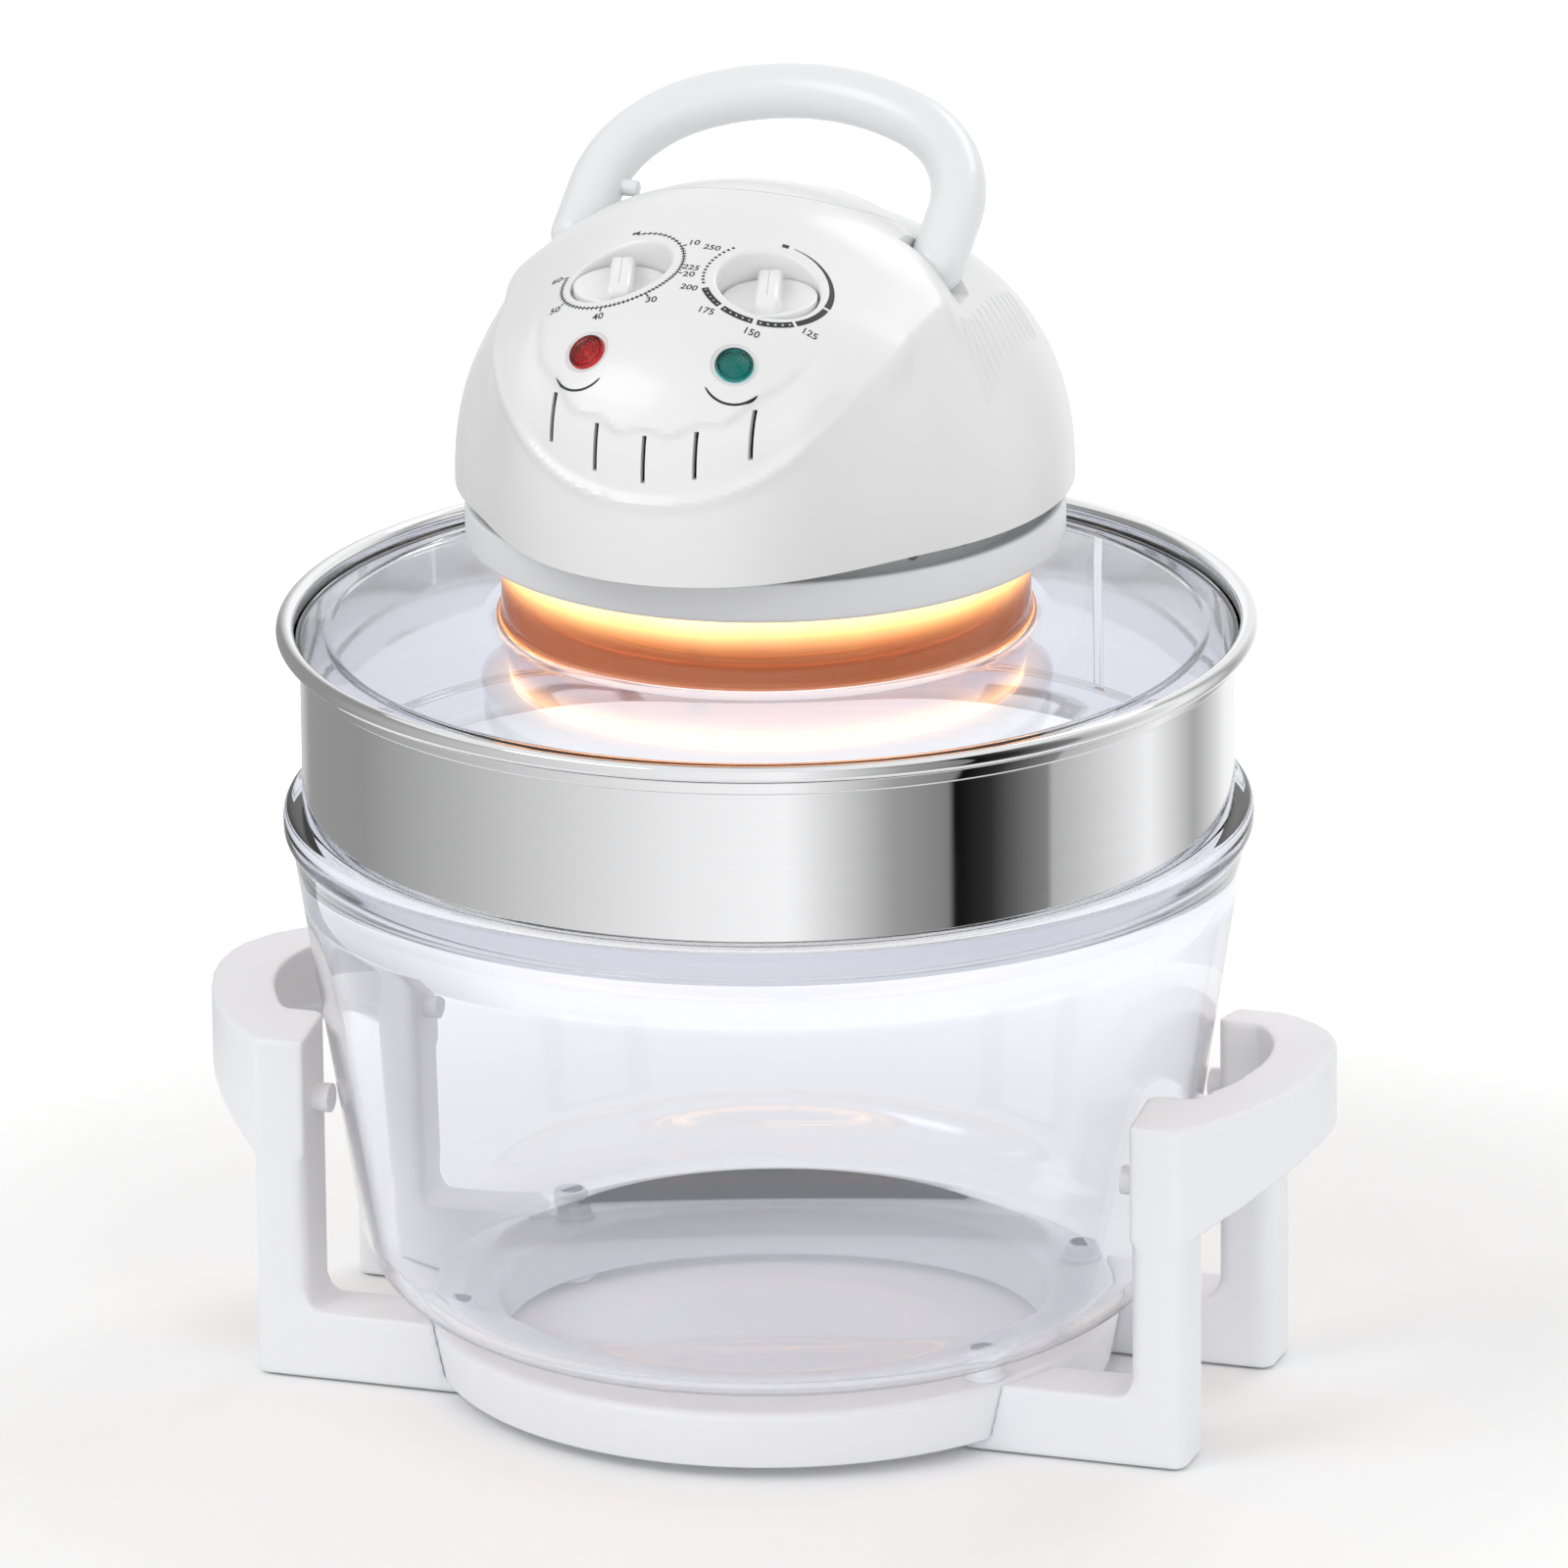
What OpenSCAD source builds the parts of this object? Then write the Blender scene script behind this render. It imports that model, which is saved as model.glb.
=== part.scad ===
// Table-top halogen oven: a round glass bowl in a stand with two carrying arches,
// a steel ring that raises the rim, and a loose glass lid with the heater, fan and
// controls in the head on top of it.
// Millimetres, +Z up. The origin is on the table under the bowl's axis, and the
// control panel faces -Y.

/* [Stand] */
// How far the ring under the bowl reaches past the flat of the bowl's base
ring_past = 8; // [4:0.5:11]
// Radial width of that ring
base_ring_w = 24; // [20:1:28]
// Height of the ring's body
base_ring_h = 20.5; // [18:0.5:24]
// How much narrower the ring is at its foot than at its top
ring_taper = 3.5; // [0:0.5:4]
// Gap between the table and the ring's underside
ring_lift = 4.5; // [2.5:0.25:5]
// Gap between the bowl and the inner face of a leg at its top
leg_gap = 0.3; // [0.2:0.1:2]
// Width of a leg, left to right
leg_w = 19; // [16:0.5:20]
// Depth of a leg, front to back
leg_d = 25; // [20:1:28]
// Distance from the middle to the front face of the front legs
leg_front = 63; // [58:0.5:68]
// Height of the arms that join the legs to the ring
arm_h = 24; // [18:1:26]
// Radius of the outer edge of a carrying arch, seen from above
arch_r = 76; // [74:0.5:80]
// Height of the top of the arch over the table
arch_top = 127; // [122:1:132]
// Thickness of the arch at its middle
arch_t = 21; // [16:1:24]
// Width of the grip at the middle of the arch
grip_w = 22; // [18:1:25]
// Thickness of the pads under the legs
foot_h = 0.8; // [0.5:0.1:1]

/* [Bowl] */
// Radius of the bowl over its rolled rim
rim_r = 163.3; // [162:0.1:165]
// Height of the bowl
bowl_h = 172.4; // [165:0.2:180]
// Radius of the flat base of the bowl
bowl_base_r = 110; // [100:1:113]
// Radius of the corner between base and wall
bowl_corner_r = 30; // [24:1:32]
// Thickness of the glass
glass_t = 4.5; // [3.5:0.25:5.5]
// Height of the rolled rim
rim_h = 10; // [8:0.5:12]
// Radial width of the rolled rim
rim_w = 9; // [8:0.5:10]
// Height of the pegs that the bowl stands on
rest_h = 5.6; // [4:0.2:8]

/* [Extender ring] */
// How far the steel ring's wall stands in from the edge of the bowl's rim
ext_inset = 6.5; // [5.9:0.1:7.5]
// Height of the ring between bowl rim and lid seat
ext_h = 55; // [40:1:90]
// Thickness of the steel sheet
sheet_t = 1; // [0.8:0.1:1.4]
// Depth of the skirt that drops into the bowl
ext_skirt = 12; // [8:1:20]
// Radius of the rolled bead
bead_r = 3; // [2.5:0.1:3.4]

/* [Glass lid] */
// How far the lid's edge reaches past the steel ring's wall
lid_over = 1.6; // [1:0.1:2.4]
// Thickness of the lid's glass
lid_t = 4; // [3.5:0.25:5]
// Rise of the glass from its edge to the neck
lid_rise = 8.5; // [6:0.5:14]
// Outer radius of the glass neck
neck_r = 88.8; // [86:0.2:90]
// Height of the neck above the foot of the dome
neck_h = 32.5; // [28:0.5:40]

/* [Head] */
// How far the white collar reaches past the glass neck
collar_over = 11.8; // [9.5:0.1:13]
// Height of the collar's outer band
collar_h = 14; // [10:0.5:15]
// Gap between the collar and the lower edge of the housing
skirt_gap = 6.5; // [5:0.5:9]
// Radius of the housing at its lower edge
dome_r = 103.8; // [103:0.1:105]
// Height of the housing's rear dome
dome_h = 92.4; // [90:0.2:95]
// Thickness of the housing's wall
wall = 2.5; // [2:0.1:3]
// Radius of the nose that carries the control panel
nose_r = 67.5; // [65:0.5:70]
// Distance from the axis to the centre of that nose
nose_y = 59.5; // [56:0.5:61]
// Height of the control panel over the skirt edge at the dials
panel_h = 89.8; // [88:0.2:91]
// Rise of the panel towards the back, in millimetres per millimetre
panel_slope = 0.29; // [0.26:0.01:0.32]
// Distance from the axis to the row of dials
dial_y = 71.2; // [69:0.2:73]
// Distance from the middle to a dial or lamp
dial_x = 25.6; // [25:0.1:26]
// Distance from the axis to the row of lamps
lamp_y = 107.1; // [105:0.2:109]
// Radius of a lamp's lens
lamp_r = 6.3; // [5.5:0.1:7]
// Radius of a dial's knob
knob_r = 16; // [14:0.5:17]
// Depth of a knob's disc under the panel, at the middle of its well
knob_sink = 5.4; // [5.2:0.1:6]
// Forward lean of the two knob shafts, in degrees
knob_lean = 6; // [4:0.5:8]
// Height of a knob's grip above its disc
grip_h = 6.5; // [5:0.5:8]
// Angle of the timer's knob as it rests, against the clock, in degrees
timer_turn = 15; // [0:1:20]
// Angle of the thermostat's knob as it rests, against the clock, in degrees
thermostat_turn = 15; // [0:1:20]
// Pitch of the vent slots
vent_pitch = 17.2; // [16:0.2:18]
// Width of a vent slot
vent_w = 1.5; // [1.2:0.1:2.4]

/* [Handle] */
// Radius of the handle's tube
tube_r = 9.4; // [8.6:0.1:9.4]
// Distance from the middle to the axis of a leg
grip_half = 62.7; // [62.4:0.1:63.2]
// Distance from the pivot to the top of the arch's axis
handle_reach = 72.6; // [70:0.2:76]
// Angle of the lowered handle above the horizontal, in degrees
handle_rest = 30.7; // [30:0.1:33]
// Radius of a pivot pin
pin_r = 2.5; // [2:0.1:2.6]

/* [Heater and fans] */
// How far the ring of the heater tube stands in from the collar's tub
heater_in = 18; // [15:0.5:22]
// Radius of the quartz tube
quartz_r = 5; // [4:0.25:6]
// Radius of the hot air fan
hot_fan_r = 44; // [36:1:50]
// Radius of the motor's cooling fan
cool_fan_r = 36; // [28:1:38]
// Radius of the motor shaft
shaft_r = 3; // [2.5:0.1:4]
// Radius of the hole for the mains lead
cord_hole_r = 3.75; // [3:0.05:4]

/* [Hidden] */
$fn = 96;

fit = 0.05;
gap = 0.3;
eps = 0.01;

// Radii that follow from the bowl
base_ring_r = bowl_base_r + ring_past;
ext_r = rim_r - ext_inset;
lid_r = ext_r + lid_over;
collar_r = neck_r + collar_over;

// Heights from the table up
base_top = ring_lift + base_ring_h;
bowl_z = base_top + rest_h;
rim_z = bowl_z + bowl_h;
seat_z = rim_z + ext_h;
neck_foot_z = seat_z + lid_t + lid_rise;
neck_top = neck_foot_z + neck_h;
collar_deck_t = 3;
collar_z = neck_top - 6.5;
collar_top = collar_z + collar_h;
skirt_z = collar_top + skirt_gap;
deck_t = 3;
deck_top = skirt_z + deck_t;

// Colours as they look
white = [0.93, 0.94, 0.95];
steel = [0.75, 0.76, 0.78];
dark_steel = [0.45, 0.46, 0.48];
clear = [0.8, 0.88, 0.95, 0.35];

// Smooth maximum and minimum of two distances, rounded over the length r
function smax(a, b, r) = let (h = max(r - abs(a - b), 0) / r) max(a, b) + h * h * r / 4;
function smin(a, b, r) = -smax(-a, -b, r);

// Shape of the head as a distance that is negative inside it.
// The rear is half an ellipsoid. The front is a nose with a round plan, cut by a
// crowned panel surface that slopes up to the back and bends over at the lip.
dome_round = 2.4;
panel_crown = 0.0052;
nose_spread = 0.22;
nose_flare = 0.06;
lip_reach = 131.5;
lip_lean = 0.15;
lip_bow = 0.004;
lip_round = 43;
crest_drop = 0.5;
crest_z = skirt_z + 104;
corner_cut = 1.1;
corner_y = 55.6;
function dome_d(x, y, z) =
    (sqrt((x * x + y * y) / pow(dome_r, 2) + pow(max(z - skirt_z, 0) / dome_h, dome_round)) - 1)
    * dome_r;
function nose_plan_d(x, y) =
    y < -nose_y ? norm([x, y + nose_y]) - nose_r : abs(x) - nose_r - nose_spread * (y + nose_y);
function nose_wall_d(x, y, z) = nose_plan_d(x, y) - nose_flare * (z - skirt_z);
function panel_d(x, y, z) =
    (z - skirt_z - panel_h - panel_crown * pow(dial_x, 2) - panel_slope * (y + dial_y)
    + panel_crown * x * x) * 0.96;
function crest_d(x, y, z) = (z - crest_z + crest_drop * y + panel_crown * x * x) * 0.9;
function lip_d(x, y, z) =
    -(y + lip_reach - lip_bow * x * x - lip_lean * (z - skirt_z - 30)) * 0.99;
function corner_d(x, y) = (corner_cut * abs(x) + y - corner_y) / norm([corner_cut, 1]);
function nose_d(x, y, z) =
    let (top = smax(smax(panel_d(x, y, z), crest_d(x, y, z), 20), lip_d(x, y, z), lip_round))
    smax(smax(nose_wall_d(x, y, z), top, 5), corner_d(x, y), 8);
function head_d(x, y, z) = smin(dome_d(x, y, z), nose_d(x, y, z), 16);

// Distance along a ray from the middle of the head at which its skin lies, halving
// the interval n times. The ray has direction u, and inset moves the skin inwards.
ray_y = -12;
function ray_hit(u, inset, a, b, n) =
    let (m = (a + b) / 2)
    n == 0 ? m
    : head_d(m * u[0], ray_y + m * u[1], skirt_z + m * u[2]) + inset < 0
        ? ray_hit(u, inset, m, b, n - 1) : ray_hit(u, inset, a, m, n - 1);
function skin_point(az, el, inset) =
    let (u = [cos(az) * cos(el), sin(az) * cos(el), sin(el)],
        r = ray_hit(u, inset, 0.3 * dome_r, 1.8 * dome_r, 16))
    [r * u[0], ray_y + r * u[1], skirt_z + r * u[2]];

// Height of the skin over a place on the plan, and the way it faces there
function skin_z(x, y, a = skirt_z + 0.2 * dome_h, b = skirt_z + 1.4 * dome_h, n = 18) =
    let (m = (a + b) / 2)
    n == 0 ? m : head_d(x, y, m) < 0 ? skin_z(x, y, m, b, n - 1) : skin_z(x, y, a, m, n - 1);
function skin_slope(x, y) =
    [(skin_z(x + 2, y) - skin_z(x - 2, y)) / 4, (skin_z(x, y + 2) - skin_z(x, y - 2)) / 4];
function skin_turn(x, y) =
    let (s = skin_slope(x, y)) [asin(s[1] / norm([s[0], s[1], 1])), atan(-s[0]), 0];

// Moves its children to the skin at a place on the plan, with +Z along the normal
// and +Y up the slope
module on_skin(x, y) {
    translate([x, y, skin_z(x, y)]) rotate(skin_turn(x, y)) children();
}

// Moves its children to a knob's shaft, with +Z along it and the skin at zero
module on_shaft(x) {
    translate([x, -dial_y, skin_z(x, -dial_y)]) rotate([knob_lean, 0, 0]) children();
}

// Closed body inside the skin, with rings of points from the skirt edge to the top.
// Its underside lies a drop below the skirt edge, and its side is upright up to as
// much above it. Its columns are turned by a lag, in columns, so that the edges of
// one body never meet those of another.
module head_body(inset, drop, columns, rows, lag) {
    low = [for (i = [0 : columns - 1])
        let (p = skin_point(360 * (i + lag) / columns, 0, inset)) [p[0], p[1], skirt_z - drop]];
    ledge = drop > 0 ? [for (p = low) [p[0], p[1], skirt_z + drop]] : [];
    rings = [for (j = [1 : rows - 1]) for (i = [0 : columns - 1])
        skin_point(360 * (i + lag) / columns, 88 * j / rows, inset)];
    bands = rows - (drop > 0 ? 0 : 1);
    points = concat(low, ledge, rings, [[0, ray_y, skirt_z - drop]], [skin_point(0, 90, inset)]);
    bottom = len(points) - 2;
    top = len(points) - 1;
    faces = concat(
        [for (j = [0 : bands - 1]) for (i = [0 : columns - 1])
            let (a = j * columns + i, b = j * columns + (i + 1) % columns)
            [a, a + columns, b]],
        [for (j = [0 : bands - 1]) for (i = [0 : columns - 1])
            let (a = j * columns + i, b = j * columns + (i + 1) % columns)
            [b, a + columns, b + columns]],
        [for (i = [0 : columns - 1]) [i, (i + 1) % columns, bottom]],
        [for (i = [0 : columns - 1])
            [bands * columns + (i + 1) % columns, bands * columns + i, top]]);
    polyhedron(points, faces, convexity = 6);
}

// Plan of a bar with round corners
module round_plan(w, d, r) {
    square([w - 2 * r, d], center = true);
    square([w, d - 2 * r], center = true);
    for (i = [-1, 1], j = [-1, 1])
        translate([i * (w / 2 - r), j * (d / 2 - r)]) circle(r);
}

// Repeats its children at the four quarters round the axis, starting at an angle
module four_round(a) {
    for (i = [0 : 3]) rotate(a + 90 * i) children();
}

// Stand: places shared by its pieces
peg_angle = 31.5;
peg_r = 6;
peg_place_r = base_ring_r - peg_r - 3;
peg_pin_r = 3;
ledge_reach = sqrt(pow(base_ring_r - ring_taper, 2) - pow(leg_front, 2)) - 2;
leg_back = leg_front - leg_d;
leg_y = leg_front - leg_d / 2;
ledge_screw_x = sqrt(pow(base_ring_r - base_ring_w / 2, 2) - pow(leg_y, 2));
screw_r = 1.6;
screw_head_r = 3.2;
screw_head_h = 1.2;
arch_sag = 7;
arch_crown = 6;
arch_under_r = (pow(leg_back, 2) + pow(arch_sag, 2)) / (2 * arch_sag);
arch_over_r = (pow(leg_front, 2) + pow(arch_crown, 2)) / (2 * arch_crown);
bumper_r = 5;
bumper_pin_r = 2.5;
bumper_z = arch_top - arch_t - 8;

// Bowl: the wall is the straight line that touches the corner arc and meets the rim
wall_end = [rim_r - 2.5, rim_z - rim_h];
corner_at = [bowl_base_r, bowl_z + bowl_corner_r];
wall_run = wall_end - corner_at;
bowl_lean = acos(bowl_corner_r / norm(wall_run)) - atan2(wall_run[1], wall_run[0]);
function bowl_r_at(z) =
    corner_at[0] + bowl_corner_r * cos(bowl_lean)
    + (z - corner_at[1] + bowl_corner_r * sin(bowl_lean)) * tan(bowl_lean);
bumper_end = sqrt(pow(bowl_r_at(bumper_z + bumper_r) + gap, 2) - pow(leg_y - bumper_r, 2));

// Legs: their inner faces clear the bowl at the legs' tops
leg_top = arch_top - arch_over_r + sqrt(pow(arch_over_r, 2) - pow(leg_back, 2));
leg_inner = sqrt(pow(bowl_r_at(leg_top) + leg_gap, 2) - pow(leg_back, 2));
leg_reach = leg_inner + leg_w;
leg_x = leg_inner + leg_w / 2;
arch_x = leg_reach - 2 - sqrt(pow(arch_r, 2) - pow(leg_front, 2));
arch_far = arch_x + arch_r;
grip_chord = leg_front - 12;
grip_bulge = arch_far - grip_w - leg_inner;
grip_r = (pow(grip_chord, 2) + pow(grip_bulge, 2)) / (2 * grip_bulge);
grip_x = arch_far - grip_w - grip_r;

module base_ring() {
    color(white) difference() {
        rotate_extrude() polygon([
            [base_ring_r - base_ring_w, ring_lift], [base_ring_r - ring_taper, ring_lift],
            [base_ring_r, base_top - 2], [base_ring_r - 2, base_top],
            [base_ring_r - base_ring_w + 2, base_top],
            [base_ring_r - base_ring_w, base_top - 2]]);
        peg_places() cylinder(h = 18, r = peg_pin_r + fit, center = true);
        ledge_screw_places() cylinder(h = 12, r = screw_r + fit);
    }
}

module peg_places() {
    for (i = [-1, 1], j = [-1, 1])
        translate([i * peg_place_r * cos(peg_angle), j * peg_place_r * sin(peg_angle), base_top])
            children();
}

module ledge_screw_places() {
    for (i = [-1, 1], j = [-1, 1])
        translate([i * ledge_screw_x, j * leg_y, foot_h]) children();
}

// Half of the stand: two legs with their arms, and the carrying arch over them
module side_frame() {
    color(white) difference() {
        union() {
            for (j = [-1, 1]) {
                intersection() {
                    translate([leg_x, j * leg_y, foot_h])
                        linear_extrude(arch_top) round_plan(leg_w, leg_d, 5);
                    arch_over();
                }
                difference() {
                    translate([ledge_reach / 2, j * leg_y, foot_h]) linear_extrude(arm_h)
                        translate([leg_x / 2, 0]) square([leg_x - ledge_reach + 2, leg_d], center = true);
                    rotate_extrude() polygon([
                        [0, ring_lift], [base_ring_r - ring_taper + fit, ring_lift],
                        [base_ring_r + fit, base_top - 2], [base_ring_r + fit, base_top + 20],
                        [0, base_top + 20]]);
                }
                translate([0, 0, foot_h]) linear_extrude(ring_lift - foot_h) difference() {
                    translate([ledge_screw_x - 8 + leg_w, j * leg_y]) round_plan(2 * leg_w, leg_d, 6);
                    circle(base_ring_r - base_ring_w);
                }
            }
            difference() {
                intersection() {
                    linear_extrude(arch_top + 1) arch_plan(arch_far - grip_w, grip_r, grip_x);
                    arch_over();
                }
                arch_under(arch_under_r);
            }
            difference() {
                linear_extrude(arch_top - 10) difference() {
                    arch_plan(arch_far - grip_w, grip_r, grip_x);
                    translate([grip_x, 0]) circle(grip_r + 3);
                    translate([0, -arch_r]) square([leg_inner, 2 * arch_r]);
                }
                arch_under(arch_under_r - 5);
            }
        }
        for (j = [-1, 1]) {
            translate([leg_inner - 1, j * leg_y, bumper_z]) rotate([0, 90, 0])
                cylinder(h = 10, r = bumper_pin_r + fit);
            translate([ledge_screw_x, j * leg_y, foot_h - eps]) {
                cylinder(h = screw_head_h + 0.2 + eps, r = screw_head_r + fit);
                cylinder(h = 10, r = screw_r + fit);
            }
        }
    }
}

// Plan of the arch: a crescent between two arcs, ending at the legs' faces
module arch_plan(inner_x, inner_r, inner_at) {
    intersection() {
        difference() {
            translate([arch_x, 0]) circle(arch_r);
            translate([inner_at, 0]) circle(inner_r);
        }
        translate([leg_inner, -leg_front]) square([arch_far, 2 * leg_front]);
    }
}

// Everything under the crowned top of the arch
module arch_over() {
    translate([0, 0, arch_top - arch_over_r]) rotate([0, 90, 0])
        cylinder(h = 2 * leg_reach, r = arch_over_r, $fn = 240);
}

// The space under the arch that a hand reaches through
module arch_under(r) {
    translate([0, 0, arch_top - arch_t - arch_under_r]) rotate([0, 90, 0])
        cylinder(h = 2 * leg_reach, r = r);
    translate([0, -leg_front - 1, -arch_under_r])
        cube([2 * leg_reach, 2 * leg_front + 2, arch_top - arch_t]);
}

module side_frame_right() { side_frame(); }
module side_frame_left() { mirror([1, 0, 0]) side_frame(); }

module bowl_rest_pegs() {
    color(white) peg_places() {
        translate([0, 0, -8]) cylinder(h = 9, r = peg_pin_r);
        cylinder(h = 1.6, r = peg_r + 1);
        cylinder(h = rest_h, r = peg_r);
    }
}

module side_bumpers() {
    color(white) for (i = [0, 1], j = [-1, 1]) mirror([i, 0, 0])
        translate([bumper_end, j * leg_y, bumper_z]) rotate([0, 90, 0]) {
            cylinder(h = leg_inner - bumper_end, r = bumper_r);
            cylinder(h = leg_inner - bumper_end + 8, r = bumper_pin_r);
        }
}

module foot_pads() {
    color("gray") for (i = [-1, 1], j = [-1, 1])
        translate([i * leg_x, j * leg_y, 0]) cylinder(h = foot_h, r = leg_w / 2 - 1.5);
}

module stand_screws() {
    color(steel) ledge_screw_places() translate([0, 0, 0.2]) {
        cylinder(h = screw_head_h, r = screw_head_r);
        cylinder(h = 10, r = screw_r);
    }
}

module glass_bowl() {
    inner_r = bowl_corner_r - glass_t;
    lip = [glass_t * cos(bowl_lean), -glass_t * sin(bowl_lean)];
    color(clear) rotate_extrude($fn = 180) polygon(concat(
        [[0, bowl_z]],
        [for (i = [0 : 8]) let (a = -90 + (90 - bowl_lean) * i / 8)
            corner_at + bowl_corner_r * [cos(a), sin(a)]],
        [wall_end, [rim_r, rim_z - rim_h + 2], [rim_r, rim_z - 3], [rim_r - 1, rim_z - 1],
         [rim_r - 3, rim_z], [rim_r - rim_w + 1.5, rim_z], [rim_r - rim_w, rim_z - 1.5],
         [rim_r - rim_w, rim_z - rim_h + 2]],
        [wall_end - lip - [0, 4]],
        [for (i = [8 : -1 : 0]) let (a = -90 + (90 - bowl_lean) * i / 8)
            corner_at + inner_r * [cos(a), sin(a)]],
        [[0, bowl_z + glass_t]]));
}

// Extender ring: a sheet with a skirt that drops into the bowl, a shoulder on the
// rim, a straight wall, a flared seat for the lid and a rolled bead
skirt_r = rim_r - rim_w - 0.8;
pocket_r = lid_r + gap;
bead_z = seat_z + lid_t + 2.7;
module extender_ring() {
    color(steel) rotate_extrude($fn = 180) {
        polygon([
            [skirt_r - sheet_t, rim_z - ext_skirt], [skirt_r, rim_z - ext_skirt],
            [skirt_r, rim_z], [ext_r, rim_z], [ext_r, seat_z - sheet_t],
            [pocket_r + sheet_t, seat_z - sheet_t], [pocket_r + sheet_t, bead_z],
            [pocket_r, bead_z], [pocket_r, seat_z], [ext_r - sheet_t, seat_z],
            [ext_r - sheet_t, rim_z + sheet_t], [skirt_r - sheet_t, rim_z + sheet_t]]);
        translate([pocket_r + bead_r, bead_z]) circle(bead_r, $fn = 32);
    }
}

// Glass lid: a flat edge, a low shoulder, a shallow dome and an upright neck
module glass_lid() {
    edge_top = seat_z + lid_t;
    edge_w = 8;
    shoulder = 1.5;
    dome_out = lid_r - edge_w - 2;
    dome_in = neck_r + 4;
    function arch_z(r) = let (t = (dome_out - r) / (dome_out - dome_in))
        edge_top + shoulder + (lid_rise - shoulder - 1) * (1 - pow(1 - t, 1.6));
    color(clear) rotate_extrude($fn = 180) polygon(concat(
        [[lid_r, seat_z + 0.6], [lid_r, edge_top - 0.6], [lid_r - 0.6, edge_top],
         [lid_r - edge_w, edge_top]],
        [for (i = [0 : 10]) let (r = dome_out + (dome_in - dome_out) * i / 10) [r, arch_z(r)]],
        [[neck_r + 1.2, neck_foot_z + 0.6], [neck_r, neck_foot_z + 3], [neck_r, neck_top],
         [neck_r - lid_t, neck_top], [neck_r - lid_t, neck_foot_z - lid_t + 2],
         [neck_r - lid_t + 2, neck_foot_z - lid_t]],
        [for (i = [10 : -1 : 0]) let (r = dome_out + (dome_in - dome_out) * i / 10)
            [r - 0.5, arch_z(r) - lid_t]],
        [[lid_r - edge_w, seat_z], [lid_r - 0.6, seat_z]]));
}

// Collar that clamps the neck of the lid, with the vented tub on which the head sits
tub_r = neck_r - lid_t - 0.8;
tub_t = 3;
module lid_collar() {
    band_t = 3;
    color(white) difference() {
        rotate_extrude($fn = 180) polygon([
            [neck_r + 0.5, collar_z], [collar_r - 1, collar_z], [collar_r, collar_z + 1],
            [collar_r, collar_top - 1], [collar_r - 1, collar_top],
            [collar_r - band_t, collar_top], [collar_r - band_t, neck_top + collar_deck_t],
            [tub_r + tub_t, neck_top + collar_deck_t], [tub_r + tub_t, skirt_z],
            [tub_r, skirt_z], [tub_r, neck_top], [neck_r + 0.5, neck_top]]);
        for (i = [0 : 23]) rotate(15 * i + 7.5)
            translate([tub_r - 1, 0, (neck_top + collar_deck_t + skirt_z) / 2]) rotate([0, 90, 0])
                cylinder(h = tub_t + 2, r = 2.6, $fn = 24);
    }
}

// Deck: the floor of the head, which carries the motor and closes the housing
boss_r = 5.5;
boss_at = [75, 53];
post_at = 50;
post_r = 3;
motor_x = 29;
motor_screw_r = 2;
module boss_places() {
    for (i = [-1, 1], j = [-1, 1]) translate([i * boss_at[0], j * boss_at[1], 0]) children();
}

module motor_deck() {
    color(steel) difference() {
        translate([0, 0, skirt_z]) linear_extrude(deck_t)
            polygon([for (i = [0 : 71]) let (p = skin_point(5 * i, 0, wall + gap)) [p[0], p[1]]]);
        translate([0, 0, skirt_z - 1]) {
            cylinder(h = 5, r = shaft_r + 3);
            boss_places() cylinder(h = 5, r = screw_r + fit);
            cover_post_places() cylinder(h = 5, r = screw_r + fit);
            for (i = [-1, 1]) translate([i * motor_x, 0]) cylinder(h = 5, r = motor_screw_r + fit);
        }
    }
}

// Handle pivots, and the pockets in the housing that the lowered legs lie in
pivot_y = -6;
pivot_z = skirt_z + 79.7;
pocket_in = grip_half - tube_r - 0.4;
pocket_out = grip_half + tube_r + 3;
pocket_front = pivot_y - tube_r - 0.8;
pocket_floor = pivot_z - tube_r - 0.8;
pocket_back = 40;
pocket_wall = 2;
floor_drop = (tube_r + 0.8) / cos(handle_rest);
pocket_bend = pivot_y + (floor_drop - tube_r - 0.8) / tan(handle_rest);
module pocket_block(grow) {
    rise = (pocket_back - pocket_bend) * tan(handle_rest);
    for (i = [0, 1]) mirror([i, 0, 0]) translate([pocket_in - grow, 0, 0]) rotate([90, 0, 90])
        linear_extrude(pocket_out - pocket_in + 2 * grow) polygon([
            [pocket_front - grow, pocket_floor - grow], [pocket_bend, pocket_floor - grow],
            [pocket_back, pocket_floor - grow + rise], [pocket_back, skirt_z + 120],
            [pocket_front - grow, skirt_z + 120]]);
}

// Bosses beside the pockets that hold the pivot pins
pin_in = 5;
module pivot_bosses() {
    for (i = [0, 1]) mirror([i, 0, 0]) translate([pocket_in - pin_in - 1.5, pivot_y, pivot_z])
        rotate([0, 90, 0]) cylinder(h = pin_in + 0.5, r = pin_r + 3);
}

// Switch under the left leg, and the place of its plunger
peg_up = 22.5;
peg_out_r = 2.8;
plunger_in = 5;
plunger_r = 1.25;
plunger_x = -grip_half;
plunger_y = 14;
leg_under_z = pivot_z + (plunger_y - plunger_r - pivot_y) * tan(handle_rest)
    - tube_r / cos(handle_rest);
plunger_tip = leg_under_z - 0.2;
switch_top = skirt_z + 60;

// Plan of the cover behind the panel, grown or shrunk all round
cover_y = 38.4;
cover_r = 60.4;
cover_half = 50;
cover_back = 78;
module cover_plan(grow) {
    intersection() {
        translate([0, cover_y]) circle(cover_r + grow, $fn = 120);
        translate([-cover_half - grow, -cover_back])
            square([2 * (cover_half + grow), 2 * cover_back + grow]);
    }
}

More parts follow.
